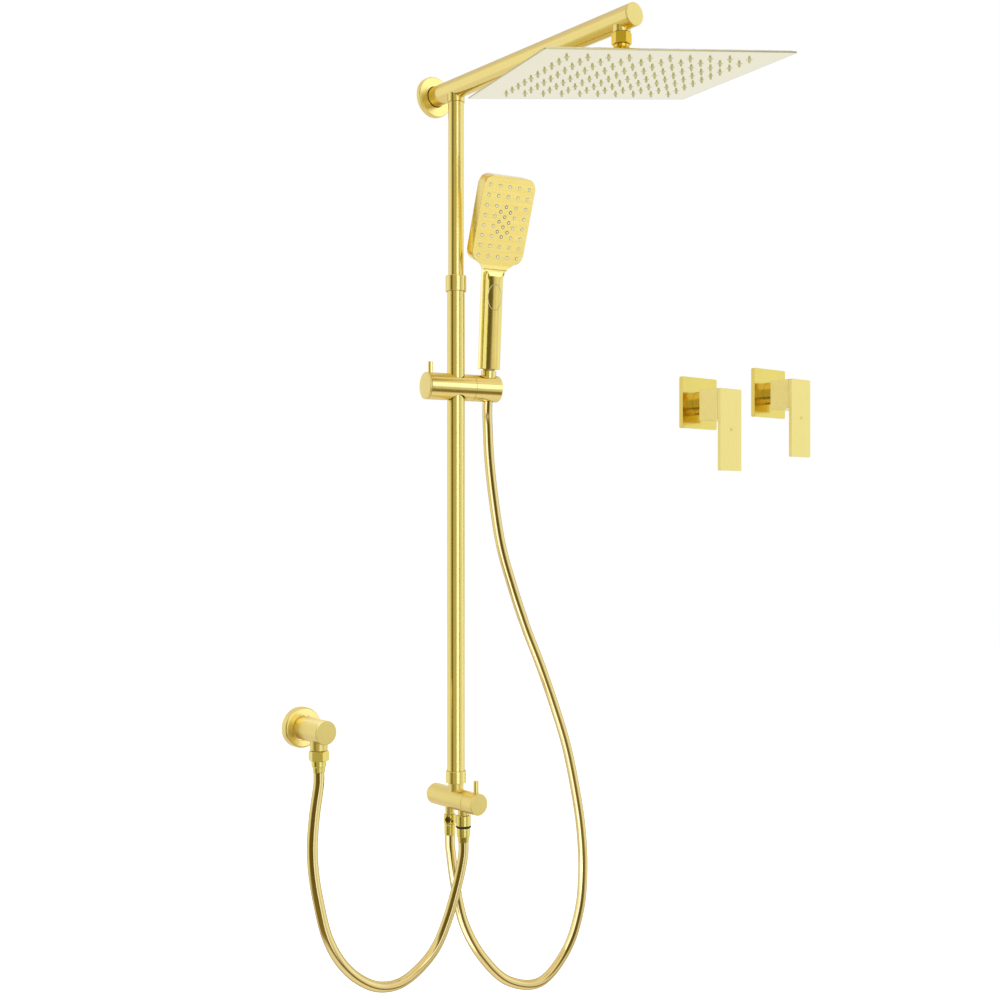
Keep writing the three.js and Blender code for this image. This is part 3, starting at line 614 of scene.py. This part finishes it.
def build_riser():
    place = at(0, -STANDOFF, 0)
    tube_solid = lathe("lower_riser_tube", [
        [11.3, LOWER_FOOT], [LOWER_R, LOWER_FOOT], [LOWER_R, LOWER_TOP, 0.5], [11.3, LOWER_TOP],
    ])
    gold(tube_solid, place, "lower_column", ["lower_riser"])
    lock = lathe("lock_collar", [
        [13.2, LOCK_FOOT], [LOCK_R, LOCK_FOOT, 0.5], [LOCK_R, LOCK_TOP, 0.7], [11.4, LOCK_TOP, 0.3],
        [11.4, -267.4], [13.2, -267.4],
    ])
    gold(lock, place, "riser_lock_nut", ["riser_lock"])
    collar = lathe("foot_collar", [
        [9, COLLAR_FOOT], [COLLAR_R, COLLAR_FOOT, 0.5], [COLLAR_R, COLLAR_TOP, 0.8], [12.8, COLLAR_TOP],
        [12.8, -970.3], [9, -970.3],
    ])
    gold(collar, place, "lower_column", ["lower_collar"])


# ---------------------------------------------------------------- rain head
def nut(name, radius, low, high, bore, chamfer, phase=0):
    """A hexagonal nut whose corners are chamfered by a turned cone at both ends."""
    solid = slab(name, hexagon(radius, 0.4, phase), low, high)
    inner = radius * math.cos(math.radians(30))
    outer = radius + 0.1
    cone = lathe("cone", [
        [0, low], [inner, low], [outer, low + chamfer], [outer, high - chamfer], [inner, high], [0, high],
    ])
    combine(solid, [cone], "INTERSECT")
    if bore:
        combine(solid, [tunnel("bore", bore, low - 1, high + 1, 64)], "DIFFERENCE")
    return solid


def build_rain_head():
    drop = at(0, -OUTLET_Y, 0)
    body = nut("swivel_hexagon", NUT_R, NUT_FOOT, NUT_TOP, 8.5, 1.2, 12)
    finish_piece(body, drop, "head_swivel", bright_gold, ["swivel_nut"], 25)
    ball = lathe("swivel_stem", [
        [0, -57], [3.06, -56.39], [5.66, -54.66], [7.39, -52.06], [8, BALL_Z], [7.39, -45.94], [6.24, -44],
        [5, -43.2, 0.5], [5, -35.3, 0.3], [9.8, -35.3, 0.5], [9.8, -31.3, 0.6], [0, -31.3],
    ], 64)
    finish_piece(ball, drop, "head_swivel", bright_gold, ["swivel_ball"])

    turned = turn(HEAD_TURN[0], "X") @ turn(HEAD_TURN[1], "Y") @ turn(HEAD_TURN[2], "Z")
    head = at(0, -OUTLET_Y, BALL_Z) @ turned
    collar = lathe("ball_collar", [
        [5, -16.6], [13, -16.6, 0.3], [13, 0.5, 1.2], [10.5, 0.5, 0.3], [10.5, -9], [5, -9],
    ])
    gold(collar, head, "rain_head", ["head_collar"])

    lid = frustum("head_lid", square(HEAD_SIDE - 0.4, 1.2), -18.7, square(HEAD_SIDE - 10, 1.2), HEAD_TOP)
    finish_piece(lid, head, "rain_head", cream_steel, ["head_shell"])
    rim = slab("head_edge", square(HEAD_SIDE, 1.2), HEAD_FOOT, -18.7, 0.3)
    combine(rim, [slab("pocket", square(HEAD_SIDE - 0.8, 0.8), -21, -18)], "DIFFERENCE")
    finish_piece(rim, head, "rain_head", edge_steel, ["head_shell"])
    steps = [(i - (HEAD_ROWS - 1) / 2) * HEAD_PITCH for i in range(HEAD_ROWS)]
    places = [(x, y) for x in steps for y in steps]
    face = slab("spray_face", square(HEAD_SIDE - 1, 0.6), HEAD_FOOT + 0.02, -19.3, 0.15, 1)
    combine(face, [cylinders("holes", places, 3.6, -23, -17, 32)], "DIFFERENCE")
    finish_piece(face, head, "rain_head", cream_steel, ["head_face"])
    jets = lathe("rain_jets", [
        [0, -18.2], [3.3, -18.2], [3.3, -20.5, 0.2], [1.8, -20.9, 0.3], [1.1, -24.4, 0.3], [0.7, -24.4, 0.1],
        [0.6, -22], [0, -22],
    ], 24, places)
    sheet = slab("sheet", square(260, 3), -19.2, -18.1)
    mat = joined("rain_nozzle_mat", [jets, sheet])
    finish_piece(mat, head, "rain_head", olive, ["nozzle_mat"])


# ---------------------------------------------------------------- diverter
def build_diverter():
    barrel_place = at(0, 0, DIVERTER_Z)
    body = lathe("diverter_barrel", [[0, 6], [BARREL_R, 6, 0.6], [BARREL_R, 84, 0.25], [0, 84]], 128)
    shifted(body, OUT)
    neck = shifted(lathe("neck", [[0, 0], [10.8, 0], [10.8, 22.7, 0.4], [0, 22.7]]), at(0, -STANDOFF, 0))
    rear = shifted(tunnel("rear", 6.7, -23.7, 0, 64), at(0, REAR_Y, 0))
    front = shifted(tunnel("front", 8, -19.7, 0, 64), at(0, FRONT_Y, 0))
    combine(body, [neck, rear, front], "UNION")
    gold(body, barrel_place, "lower_column", ["diverter_body"], matte_gold)
    foot = lathe("diverter_wall_foot", [[0, 0], [11, 0, 0.2], [11, 5.7, 0.2], [0, 5.7]])
    gold(foot, barrel_place @ OUT, "lower_column", ["diverter_foot"], matte_gold)

    knob = lathe("diverter_handle", [[0, 84.3], [BARREL_R, 84.3, 0.25], [BARREL_R, 107, 0.8], [0, 107]], 128)
    shifted(knob, OUT)
    hole = shifted(tunnel("hole", 3.9, 5, 30, 48), at(0, KNOB_Y, 0))
    combine(knob, [hole], "DIFFERENCE")
    gold(knob, barrel_place, "diverter_control", ["diverter_knob"], matte_gold)
    pin = lathe("diverter_lever", [[0, 9.3], [3.6, 9.3], [3.6, 32, 0.6], [0, 32]], 48)
    gold(pin, barrel_place @ at(0, KNOB_Y, 0), "diverter_control", ["diverter_pin"])

    place = at(0, REAR_Y, 0)
    union = lathe("rear_union_body", [[0, REAR_FOOT], [9, REAR_FOOT, 0.6], [9, REAR_TOP, 0.6], [0, REAR_TOP]])
    socket = slab("socket", hexagon(4.8, 0.2), 5, 20)
    screw_place = at(0, 0, -1031.5) @ turn(-57, "Z") @ OUT
    shifted(socket, screw_place)
    combine(union, [socket], "DIFFERENCE")
    gold(union, place, "lower_column", ["rear_union"], union_gold)
    screw = slab("grub_screw", hexagon(4.6, 0.4), 5.3, 9.6, 0.4)
    combine(screw, [slab("key", hexagon(2.2, 0.1), 7, 12)], "DIFFERENCE")
    finish_piece(screw, place @ screw_place, "lower_column", bronze, ["union_screw"])
    ferrule = lathe("rear_hose_ferrule", [
        [0, -1054], [8, -1054, 0.4], [8, -1040, 0.5], [7, -1038.4, 0.2], [0, -1038.4],
    ])
    gold(ferrule, place, "lower_column", ["rear_ferrule"], union_gold)

    place = at(0, FRONT_Y, 0)
    union = lathe("front_union_body", [
        [4, FRONT_FOOT], [10.5, FRONT_FOOT, 0.5], [10.5, FRONT_TOP, 0.9], [4, FRONT_TOP],
    ])
    gold(union, place, "lower_column", ["front_union"], union_gold)
    seal = lathe("o_ring", [[8, -1038.4], [10.7, -1038.4, 1.0], [10.7, -1035.9, 1.0], [8, -1035.9]])
    finish_piece(seal, place, "lower_column", black_rubber, ["union_o_ring"])
    hose_nut = lathe("front_hose_nut", [
        [4, -1050.6], [9.6, -1050.6, 0.6], [9.6, -1038.7, 0.6], [4, -1038.7],
    ])
    gold(hose_nut, place, "lower_column", ["front_nut"], union_gold)
    ferrule = lathe("front_hose_ferrule", [
        [0, -1058.6], [7.8, -1058.6, 0.4], [8.4, -1050.9, 0.3], [0, -1050.9],
    ])
    gold(ferrule, place, "lower_column", ["front_ferrule"], union_gold)


# ---------------------------------------------------------------- slider and hand shower
SLIDER = at(0, -STANDOFF, SLIDER_Z) @ turn(SLIDER_YAW, "Z")
IN_HOLDER = at(HOLDER_AT, 0, 0) @ turn(HANDSET_LEAN, "X")
DOCK = SLIDER @ IN_HOLDER
FACE = at(0, -30, 232) @ turn(FACE_LEAN, "X") @ OUT  # own Z is out of the face and own Y is up it
NECK = [  # the tongue under the face, which narrows into the handle: X across and Y up from the face's middle
    [28, -50], [-28, -50], [-28, -58.6, 1.5], [-15, -70, 12],
    [-13, -88], [13, -88], [15, -70, 12], [28, -58.6, 1.5],
]


def build_slider():
    body = shifted(lathe("slider_barrel", [
        [0, -44.7], [SLIDER_R, -44.7, 0.15], [SLIDER_R, SLIDER_SEAM, 0.25], [0, SLIDER_SEAM],
    ], 144), RIGHT)
    cutters = [tunnel("bore", 15.1, -30, 30, 96)]
    for k in range(6):
        slot = tunnel("slot", 3.8, 0, 30, 32)
        cutters.append(shifted(slot, at(PIN_AT, 0, 0) @ turn(-10 * k, "X")))
    combine(body, cutters, "DIFFERENCE")
    gold(body, SLIDER, "slider", ["slider_body"])
    disc = lathe("slider_end_disc", [[0, -48], [SLIDER_R, -48, 0.9], [SLIDER_R, -45, 0.1], [0, -45]], 144)
    gold(shifted(disc, RIGHT), SLIDER, "slider", ["slider_end_cap"], face_gold)
    pin = lathe("slider_lever", [[0, 0.3], [3.4, 0.3], [3.4, 34, 0.6], [0, 34]], 48)
    gold(pin, SLIDER @ at(PIN_AT, 0, 0), "slider_lock", ["lock_pin"])

    holder = lathe("turning_holder", [[0, 24.3], [SLIDER_R, 24.3, 0.25], [SLIDER_R, 66, 2.2], [0, 66]], 144)
    shifted(holder, RIGHT)
    socket = lathe("socket", [[0, -30], [8.9, -30], [8.9, -22], [11.4, 16], [11.4, 30], [0, 30]], 64)
    shifted(socket, IN_HOLDER)
    combine(holder, [socket], "DIFFERENCE")
    gold(holder, SLIDER, "holder", ["handset_holder"])
    cone = lathe("hose_cone_nut", [
        [0, -17], [8.5, -17, 0.5], [10.9, 16], [11, 20, 0.5], [11, 25.5, 0.4], [0, 25.5],
    ])
    gold(cone, DOCK, "hose_end", ["hose_cone"])


def soft_section(wide, deep, power=2 / 2.6):
    """A handle's section from its half sizes: a soft rounded rectangle with no flats."""
    out = []
    for i in range(72):
        a = math.radians(5 * i + 2.5)
        c, s = math.cos(a), math.sin(a)
        out.append([math.copysign(abs(c) ** power, c) * wide, math.copysign(abs(s) ** power, s) * deep])
    return out


def loft(name, sections):
    """A solid through soft sections: [middle y, middle z, lean in degrees, half width, half depth]."""
    bm = bmesh.new()
    rows = []
    for y, z, lean, wide, deep in sections:
        c, s = math.cos(math.radians(lean)), math.sin(math.radians(lean))
        rows.append([
            bm.verts.new((u * MM, (y + v * c) * MM, (z + v * s) * MM)) for u, v in soft_section(wide, deep)
        ])
    wrap(bm, rows)
    cap(bm, rows)
    return object_from(name, bm)


def ellipse(wide, high):
    return [[wide / 2 * c, high / 2 * s] for c, s in circle(1, 48)]


def jet_places():
    outer = [
        ((column - 2) * JET_WIDE, JET_TOP - row * JET_HIGH)
        for row in range(8) for column in range(5) if not (column == 2 and 1 < row < 6)
    ]
    inner = []
    for row in range(7):
        y = JET_TOP - (2 + row * 0.5) * JET_HIGH
        inner += [(x * JET_WIDE, y) for x in ((-0.5, 0.5) if row % 2 else (0,))]
    return outer, inner


def build_hand_shower():
    blank = loft("hand_shower_body", [
        [0, 27.5, 0, 15.3, 10.8], [0, 27.8, 0, 15.8, 11.3], [0, 28.4, 0, 16, 11.5], [0, 152, 0, 16, 11.5],
        [-0.4, 163, 3, 16, 11.4], [-1.2, 172, 9, 16, 11], [-3, 181, 18, 16, 10.2], [-6, 191, 18, 16, 9.3],
    ])
    head = slab("head", [[40, -59, 13], [40, 61, 13], [-40, 61, 13], [-40, -59, 13]], -20, 0, 1.6, 4)
    tongue = slab("tongue", NECK, -9, 1)
    shifted(head, FACE)
    shifted(tongue, FACE)
    combine(blank, [head, tongue], "UNION")
    front = shifted(slab("front", square(140, 1), -0.15, 60), FACE @ at(0, 2, 0))
    scoop = shifted(tunnel("scoop", 21.35, -60, 60, 200), at(0, SCOOP_Y, SCOOP_Z) @ RIGHT)
    combine(blank, [front, scoop], "DIFFERENCE")

    def layer(low, foot):
        high = 80 - foot
        return shifted(slab("layer", rectangle(140, high, 1), low, 20), FACE @ at(0, foot + high / 2, 0))

    face = link("hand_face_plate", blank.data.copy())
    combine(face, [layer(-2.1, -62)], "INTERSECT")

    def tongue_space(low, high=174):
        heights = [low + (high - low) * k / 20 for k in range(21)]
        curve = [[-z, SCOOP_Y + math.sqrt(21.95**2 - (z - SCOOP_Z) ** 2)] for z in heights]
        return shifted(slab("space", [[-low, -45], *curve, [-high, -45]], -60, 60), RIGHT)

    skin = link("hand_shower_tongue", blank.data.copy())
    combine(skin, [tongue_space(158.1)], "INTERSECT")
    combine(skin, [layer(-2.2, -61.98)], "DIFFERENCE")
    combine(blank, [tongue_space(158.08)], "DIFFERENCE")
    gold(skin, DOCK, "hand_shower", ["handset_shell"], face_gold)
    outer, inner = jet_places()
    holes = [
        shifted(cylinders("outer_holes", outer, 2.45, -6, 4, 24), FACE),
        shifted(cylinders("inner_holes", inner, 2.5, -6, 4, 24), FACE),
    ]
    combine(face, holes, "DIFFERENCE")
    gold(face, DOCK, "hand_shower", ["handset_face"], face_gold)

    button_place = at(0, 0, BUTTON_Z) @ OUT
    # The mode button's rim is a thin ring in paler gold: a painted highlight on the button's edge.
    rim = slab("button_rim", ellipse(21.4, 37.4), 4, 20)
    combine(rim, [slab("inner", ellipse(20.6, 36.6), 3, 21)], "DIFFERENCE")
    shifted(rim, button_place)
    combine(rim, [slab("grown", soft_section(16.2, 11.7), 90, 160)], "INTERSECT")
    gold(rim, DOCK, "hand_shower", [], painted_highlight_gold)
    button = shifted(slab("mode_button_oval", ellipse(20, 36), 7.5, 20), button_place)
    combine(button, [slab("handle", soft_section(16, 11.5), 90, 160)], "INTERSECT")
    gold(button, DOCK, "mode_control", ["mode_button"], along_gold)
    seat = shifted(slab("seat", ellipse(20.6, 36.6), 5, 20), button_place)
    combine(blank, [layer(-2.2, -62.02), seat], "DIFFERENCE")
    gold(blank, DOCK, "hand_shower", ["handset_shell"], along_gold)

    small = lathe("small", [
        [0, -3], [2.05, -3], [2.05, 0, 0.2], [1.7, 0.7, 0.3], [0.95, 1.0, 0.2], [0.6, 1.0], [0.5, 0], [0, 0],
    ], 16, outer)
    centres = lathe("centres", [
        [0, -3], [1.5, -3], [1.5, 0.3, 0.3], [0.9, 0.7, 0.2], [0.5, 0.7], [0.4, 0], [0, 0],
    ], 16, inner)
    backing = slab("backing", rectangle(70, 110, 9), -4.4, -2.6)
    mat = joined("hand_nozzle_mat", [small, centres, backing])
    finish_piece(mat, DOCK @ FACE, "hand_shower", cream_rubber, ["handset_nozzles"])
    # The dark rings round the inner jets are painted shade, standing where the gap round each centre would be
    # in shade.
    shade_rings = lathe("hand_inner_shade_rings", [[0, -2.6], [2.4, -2.6], [2.4, -0.3, 0.2], [0, -0.3]], 16, inner)
    finish_piece(shade_rings, DOCK @ FACE, "hand_shower", gap_shade_rubber, ["handset_nozzles"])


def build_elbow():
    place = at(ELBOW_X, 0, ELBOW_Z)
    cover = flange("elbow_flange_cover", 27, 12, 16.6, 2.6)
    gold(cover, place @ OUT, "wall_set", ["elbow_flange"], matte_gold)
    body = shifted(lathe("elbow_barrel", [[0, 0], [ELBOW_R, 0], [ELBOW_R, 67, 1.0], [0, 67]], 128), OUT)
    stub = shifted(lathe("stub", [[0, -24.6], [11.5, -24.6, 0.6], [11.5, 0], [0, 0]]), at(0, ELBOW_Y, 0))
    combine(body, [stub], "UNION")
    gold(body, place, "wall_set", ["elbow_body"], matte_gold)
    drop = at(ELBOW_X, ELBOW_Y, 0)
    hexagonal = nut("elbow_hexagon", 13.6, ELBOW_NUT_FOOT, ELBOW_NUT_TOP, 0, 1.4, 20)
    gold(hexagonal, drop, "wall_set", ["elbow_nut"], union_gold)
    ferrule = lathe("elbow_hose_ferrule", [
        [0, -936], [8, -936, 0.4], [8.4, -929.4, 0.5], [9.6, -928.2, 0.4], [10, -921.3, 0.4], [0, -921.3],
    ])
    gold(ferrule, drop, "wall_set", ["elbow_ferrule"], union_gold)


def mark(letter):
    """A small generic H or C, about its own middle."""
    if letter == "H":
        bars = [slab("bar", rectangle(0.5, 3.6, 0.1), 0, 0.3) for _ in range(3)]
        shifted(bars[0], at(-1.1, 0, 0))
        shifted(bars[1], at(1.1, 0, 0))
        shifted(bars[2], Matrix.Diagonal((1, 0.55, 1, 1)) @ turn(90, "Z"))
        return joined("mark", bars)
    ring = lathe("mark", [[1.2, 0], [1.75, 0, 0.1], [1.75, 0.3, 0.1], [1.2, 0.3]], 48)
    gap = shifted(slab("gap", rectangle(2, 1.8, 0.1), -1, 1), at(1.6, 0, 0))
    return combine(ring, [gap], "DIFFERENCE")


def build_tap(side, x, z, letter):
    place = at(x, 0, z) @ OUT  # own X is right, own Y is up and own Z is out of the wall
    plate = slab(side + "_wall_plate", square(PLATE_SIDE, 2), 0, 8, 0.7, 3)
    hole = tunnel("hole", 20.2, -2, 12, 96)
    combine(plate, [hole], "DIFFERENCE")
    gold(plate, place, "wall_set", [side + "_plate"], plate_gold)
    sleeve = lathe(side + "_stem_sleeve", [[12, 0], [20, 0], [20, 30, 0.6], [12, 30]], 128)
    gold(sleeve, place, "wall_set", [side + "_sleeve"])
    body = side + "_lever"
    cube = slab(side + "_lever_block", rectangle(LEVER_WIDE, 52, 0.8), 30.3, BLADE_BACK - 0.3, 0.6, 3)
    gold(cube, place @ at(0, -6, 0), body, [side + "_block"], flat_gold)
    middle = place @ at(0, -49, 0)
    blade = slab(side + "_lever_blade", rectangle(LEVER_WIDE, 138, 0.9), BLADE_BACK, BLADE_FRONT, 0.8, 3)
    pocket = tunnel("pocket", 3.7, 75.6, 80, 64)
    combine(blade, [pocket], "DIFFERENCE")
    gold(blade, middle, body, [side + "_blade"], flat_gold)
    index = lathe(side + "_index_disc", [[0, 75.7], [3.55, 75.7], [3.55, 76.55, 0.15], [0, 76.55]], 64)
    finish_piece(index, middle, body, flat_gold, [side + "_index"])
    sign = mark(letter)
    sign.name = side + "_index_mark"
    finish_piece(sign, middle @ at(0, 0, 76.4), body, mark_grey)


def build_room():
    """White to the camera, and a studio of soft walls to everything else, with a pale floor."""
    world = bpy.data.worlds.new("studio")
    bpy.context.scene.world = world
    world.use_nodes = True
    tree = world.node_tree
    tree.nodes.clear()
    connect = tree.links.new
    source = tree.nodes.new("ShaderNodeTexCoord")
    spin = tree.nodes.new("ShaderNodeMapping")
    spin.vector_type = "VECTOR"
    spin.inputs["Rotation"].default_value = (0, 0, math.radians(-CAMERA_YAW))
    connect(source.outputs["Generated"], spin.inputs["Vector"])
    split = tree.nodes.new("ShaderNodeSeparateXYZ")
    connect(spin.outputs["Vector"], split.inputs["Vector"])

    def math_node(operation, *values):
        node = tree.nodes.new("ShaderNodeMath")
        node.operation = operation
        for k, value in enumerate(values):
            if isinstance(value, (int, float)):
                node.inputs[k].default_value = value
            else:
                connect(value, node.inputs[k])
        return node.outputs[0]

    def ramp(value, stops, span):
        """Colours at angles in degrees; the value's 0 to 1 covers the whole span."""
        node = tree.nodes.new("ShaderNodeValToRGB")
        elements = node.color_ramp.elements
        while len(elements) < len(stops):
            elements.new(0.5)
        for element, (degrees, color) in zip(elements, stops):
            element.position = degrees / span + 0.5
            element.color = (*color, 1)
        connect(value, node.inputs["Fac"])
        return node.outputs["Color"]

    def blend_colors(factor, first, second):
        node = tree.nodes.new("ShaderNodeMix")
        node.data_type = "RGBA"
        connect(factor, node.inputs["Factor"])
        connect(first, node.inputs["A"])
        connect(second, node.inputs["B"])
        return node.outputs["Result"]

    back = math_node("MULTIPLY", split.outputs["Y"], -1.0)
    angle = math_node("ARCTAN2", split.outputs["X"], back)
    across = math_node("MULTIPLY_ADD", angle, 0.5 / math.pi, 0.5)
    height = math_node("MULTIPLY_ADD", math_node("ARCSINE", split.outputs["Z"]), 1 / math.pi, 0.5)
    level = ramp(across, [
        (-180, (0.93, 0.94, 1.0)), (-110, (0.92, 0.93, 1.0)), (-97, (0.94, 0.96, 1.02)),
        (-76, (0.8, 0.79, 0.72)), (-64, (0.55, 0.52, 0.36)), (-53, (0.14, 0.11, 0.02)),
        (48, (0.13, 0.1, 0.02)), (54, (0.72, 0.72, 0.66)), (66, (0.76, 0.76, 0.8)),
        (78, (0.82, 0.83, 0.86)), (90, (1.02, 1.1, 1.15)), (110, (0.95, 0.98, 1.0)), (180, (0.93, 0.94, 1.0)),
    ], 360)
    tall = ramp(height, [
        (-90, (0.9, 0.86, 0.88)), (-52, (0.9, 0.86, 0.88)), (-42, (0.22, 0.165, 0.04)),
        (-24, (0.22, 0.165, 0.04)), (34, (0.94, 0.88, 0.8)), (66, (0.86, 0.8, 0.66)),
        (90, (0.68, 0.62, 0.42)),
    ], 180)
    plain = ramp(height, [
        (-90, (0.86, 0.84, 0.9)), (30, (0.78, 0.74, 0.78)), (50, (0.78, 0.74, 0.78)), (70, (0.9, 0.86, 0.95)),
        (90, (0.95, 0.94, 0.98)),
    ], 180)
    on, off = (1, 1, 1), (0, 0, 0)
    aside = ramp(across, [(-180, on), (-95, on), (-80, off), (86, off), (100, on), (180, on)], 360)
    steep = ramp(height, [(-90, on), (-27, on), (-18, off), (26, off), (36, on), (90, on)], 180)
    room = blend_colors(steep, level, blend_colors(aside, tall, plain))
    seen = tree.nodes.new("ShaderNodeBackground")
    seen.inputs["Color"].default_value = (1, 1, 1, 1)
    lit = tree.nodes.new("ShaderNodeBackground")
    connect(room, lit.inputs["Color"])
    rays = tree.nodes.new("ShaderNodeLightPath")
    choose = tree.nodes.new("ShaderNodeMixShader")
    connect(rays.outputs["Is Camera Ray"], choose.inputs["Fac"])
    connect(lit.outputs[0], choose.inputs[1])
    connect(seen.outputs[0], choose.inputs[2])
    out = tree.nodes.new("ShaderNodeOutputWorld")
    connect(choose.outputs[0], out.inputs["Surface"])

    floor = slab("floor", rectangle(24000, 24000, 50), -2060, -2050)
    material, floor_tree, shader = new_material("floor_paint", Roughness=0.9)
    shader.inputs["Emission Color"].default_value = (1, 1, 1, 1)
    shader.inputs["Emission Strength"].default_value = 0.45
    tone = mixed(floor_tree, noise(floor_tree, (2, 2, 2)), (0.93, 0.93, 0.93), (0.95, 0.95, 0.95))
    floor_tree.links.new(tone, shader.inputs["Base Color"])
    floor.data.materials.append(material)
    floor.visible_glossy = False

    bpy.context.scene.view_settings.view_transform = "Standard"


def panel(name, target, azimuth, height, distance, size, radiance, only=(), never=(), shadow=True):
    """A soft panel that faces the target, which may light only some pieces.

    Azimuth 0 is towards the camera and grows to its right. Radiance is the panel's brightness in
    red, green and blue.
    """
    data = bpy.data.lights.new(name, "AREA")
    data.shape = "RECTANGLE"
    data.size, data.size_y = size
    peak = max(radiance)
    data.color = [value / peak for value in radiance]
    data.energy = peak * math.pi * size[0] * size[1]
    data.use_shadow = shadow
    thing = bpy.data.objects.new(name, data)
    bpy.context.scene.collection.objects.link(thing)
    a, e = math.radians(azimuth), math.radians(height)
    way = TO_CAMERA * math.cos(a) + CAMERA_RIGHT * math.sin(a)
    way = way * math.cos(e) + Vector((0, 0, math.sin(e)))
    thing.location = Vector(target) * MM + way * distance
    thing.rotation_euler = way.to_track_quat("Z", "Y").to_euler()
    thing.visible_camera = False
    if only or never:
        group = bpy.data.collections.new(name)
        for piece in only or never:
            group.objects.link(bpy.data.objects[piece])
        thing.light_linking.receiver_collection = group
        for entry in group.collection_objects:
            entry.light_linking.link_state = "INCLUDE" if only else "EXCLUDE"


def build_lights():
    hand_hose = ["handset_hose_top_1", "handset_hose_top_2", "handset_hose_top_3", "handset_hose_run"]
    handle = ["hand_shower_body", "mode_button_oval"]
    slide = ["slider_barrel", "turning_holder", "slider_lever"]
    apart = hand_hose + handle + ["hand_face_plate", "supply_hose_run"]
    panel("key", (0, -STANDOFF, -350), 28, 0, 2.0, (1.13, 2.6), (1.15, 1.3, 1.7), never=apart)
    panel("riser_mid", (0, -STANDOFF, -350), -11, 0, 2.0, (1.8, 2.6), (0.37, 0.37, 0.26), never=apart)
    panel(
        "supply_key", (-100, -60, -1050), 35, 0, 2.0, (0.7, 2.6), (1.0, 1.15, 1.5), only=["supply_hose_run"],
    )
    panel("hose_key", (100, -70, -850), -42, 0, 2.0, (2.2, 2.7), (1.1, 1.3, 1.9), only=hand_hose)
    panel("hose_low", (150, -80, -850), -42, -46, 1.5, (1.6, 0.9), (1.1, 1.3, 1.9), only=hand_hose)
    panel("handle_left", (50, -65, -300), -18, 0, 2.0, (2.1, 1.6), (0.9, 1.0, 0.95), only=handle)
    panel("handle_right", (50, -65, -300), 60, 0, 2.0, (0.6, 1.6), (0.2, 0.18, 0.1), only=handle)
    panel(
        "neck_glow", (50, -80, -262), 56, 42, 0.16, (0.2, 0.2), (0.8, 1.0, 1.5),
        only=["hand_shower_tongue"], shadow=False,
    )
    panel(
        "hand_side", (20, -60, -200), -124, 0, 0.8, (0.4, 0.36), (0.45, 0.5, 0.7),
        only=["hand_shower_body"], shadow=False,
    )
    panel("slide_band", (0, -STANDOFF, SLIDER_Z), 56, 11, 1.5, (1.8, 0.8), (0.75, 0.84, 1.3), only=slide)
    panel(
        "face_fill", (50, -95, -200), 56, -27, 1.2, (1.0, 0.9), (0.8, 0.85, 0.9),
        only=["hand_face_plate", "hand_shower_tongue"],
    )
    panel("elbow_top", (-222, -40, -883), -108, 70, 1.0, (1.2, 1.0), (0.9, 1.15, 2.1), only=["elbow_barrel"])
    panel(
        "arm_flange_fill", (0, -8, 0), 77, 18, 1.0, (0.6, 0.6), (0.65, 0.7, 0.9),
        only=["arm_flange_cover"], shadow=False,
    )
    panel(
        "elbow_flange_fill", (ELBOW_X, -12, ELBOW_Z), 77, -9, 1.0, (0.6, 0.6), (0.65, 0.7, 0.9),
        only=["elbow_flange_cover"], shadow=False,
    )


make_camera()
build_hoses()
repaint_nodes()
build_arm()
build_riser()
build_rain_head()
build_diverter()
build_slider()
build_hand_shower()
build_elbow()
build_tap("hot", 571, -408, "H")
build_tap("cold", 763, -379, "C")
build_room()
build_lights()
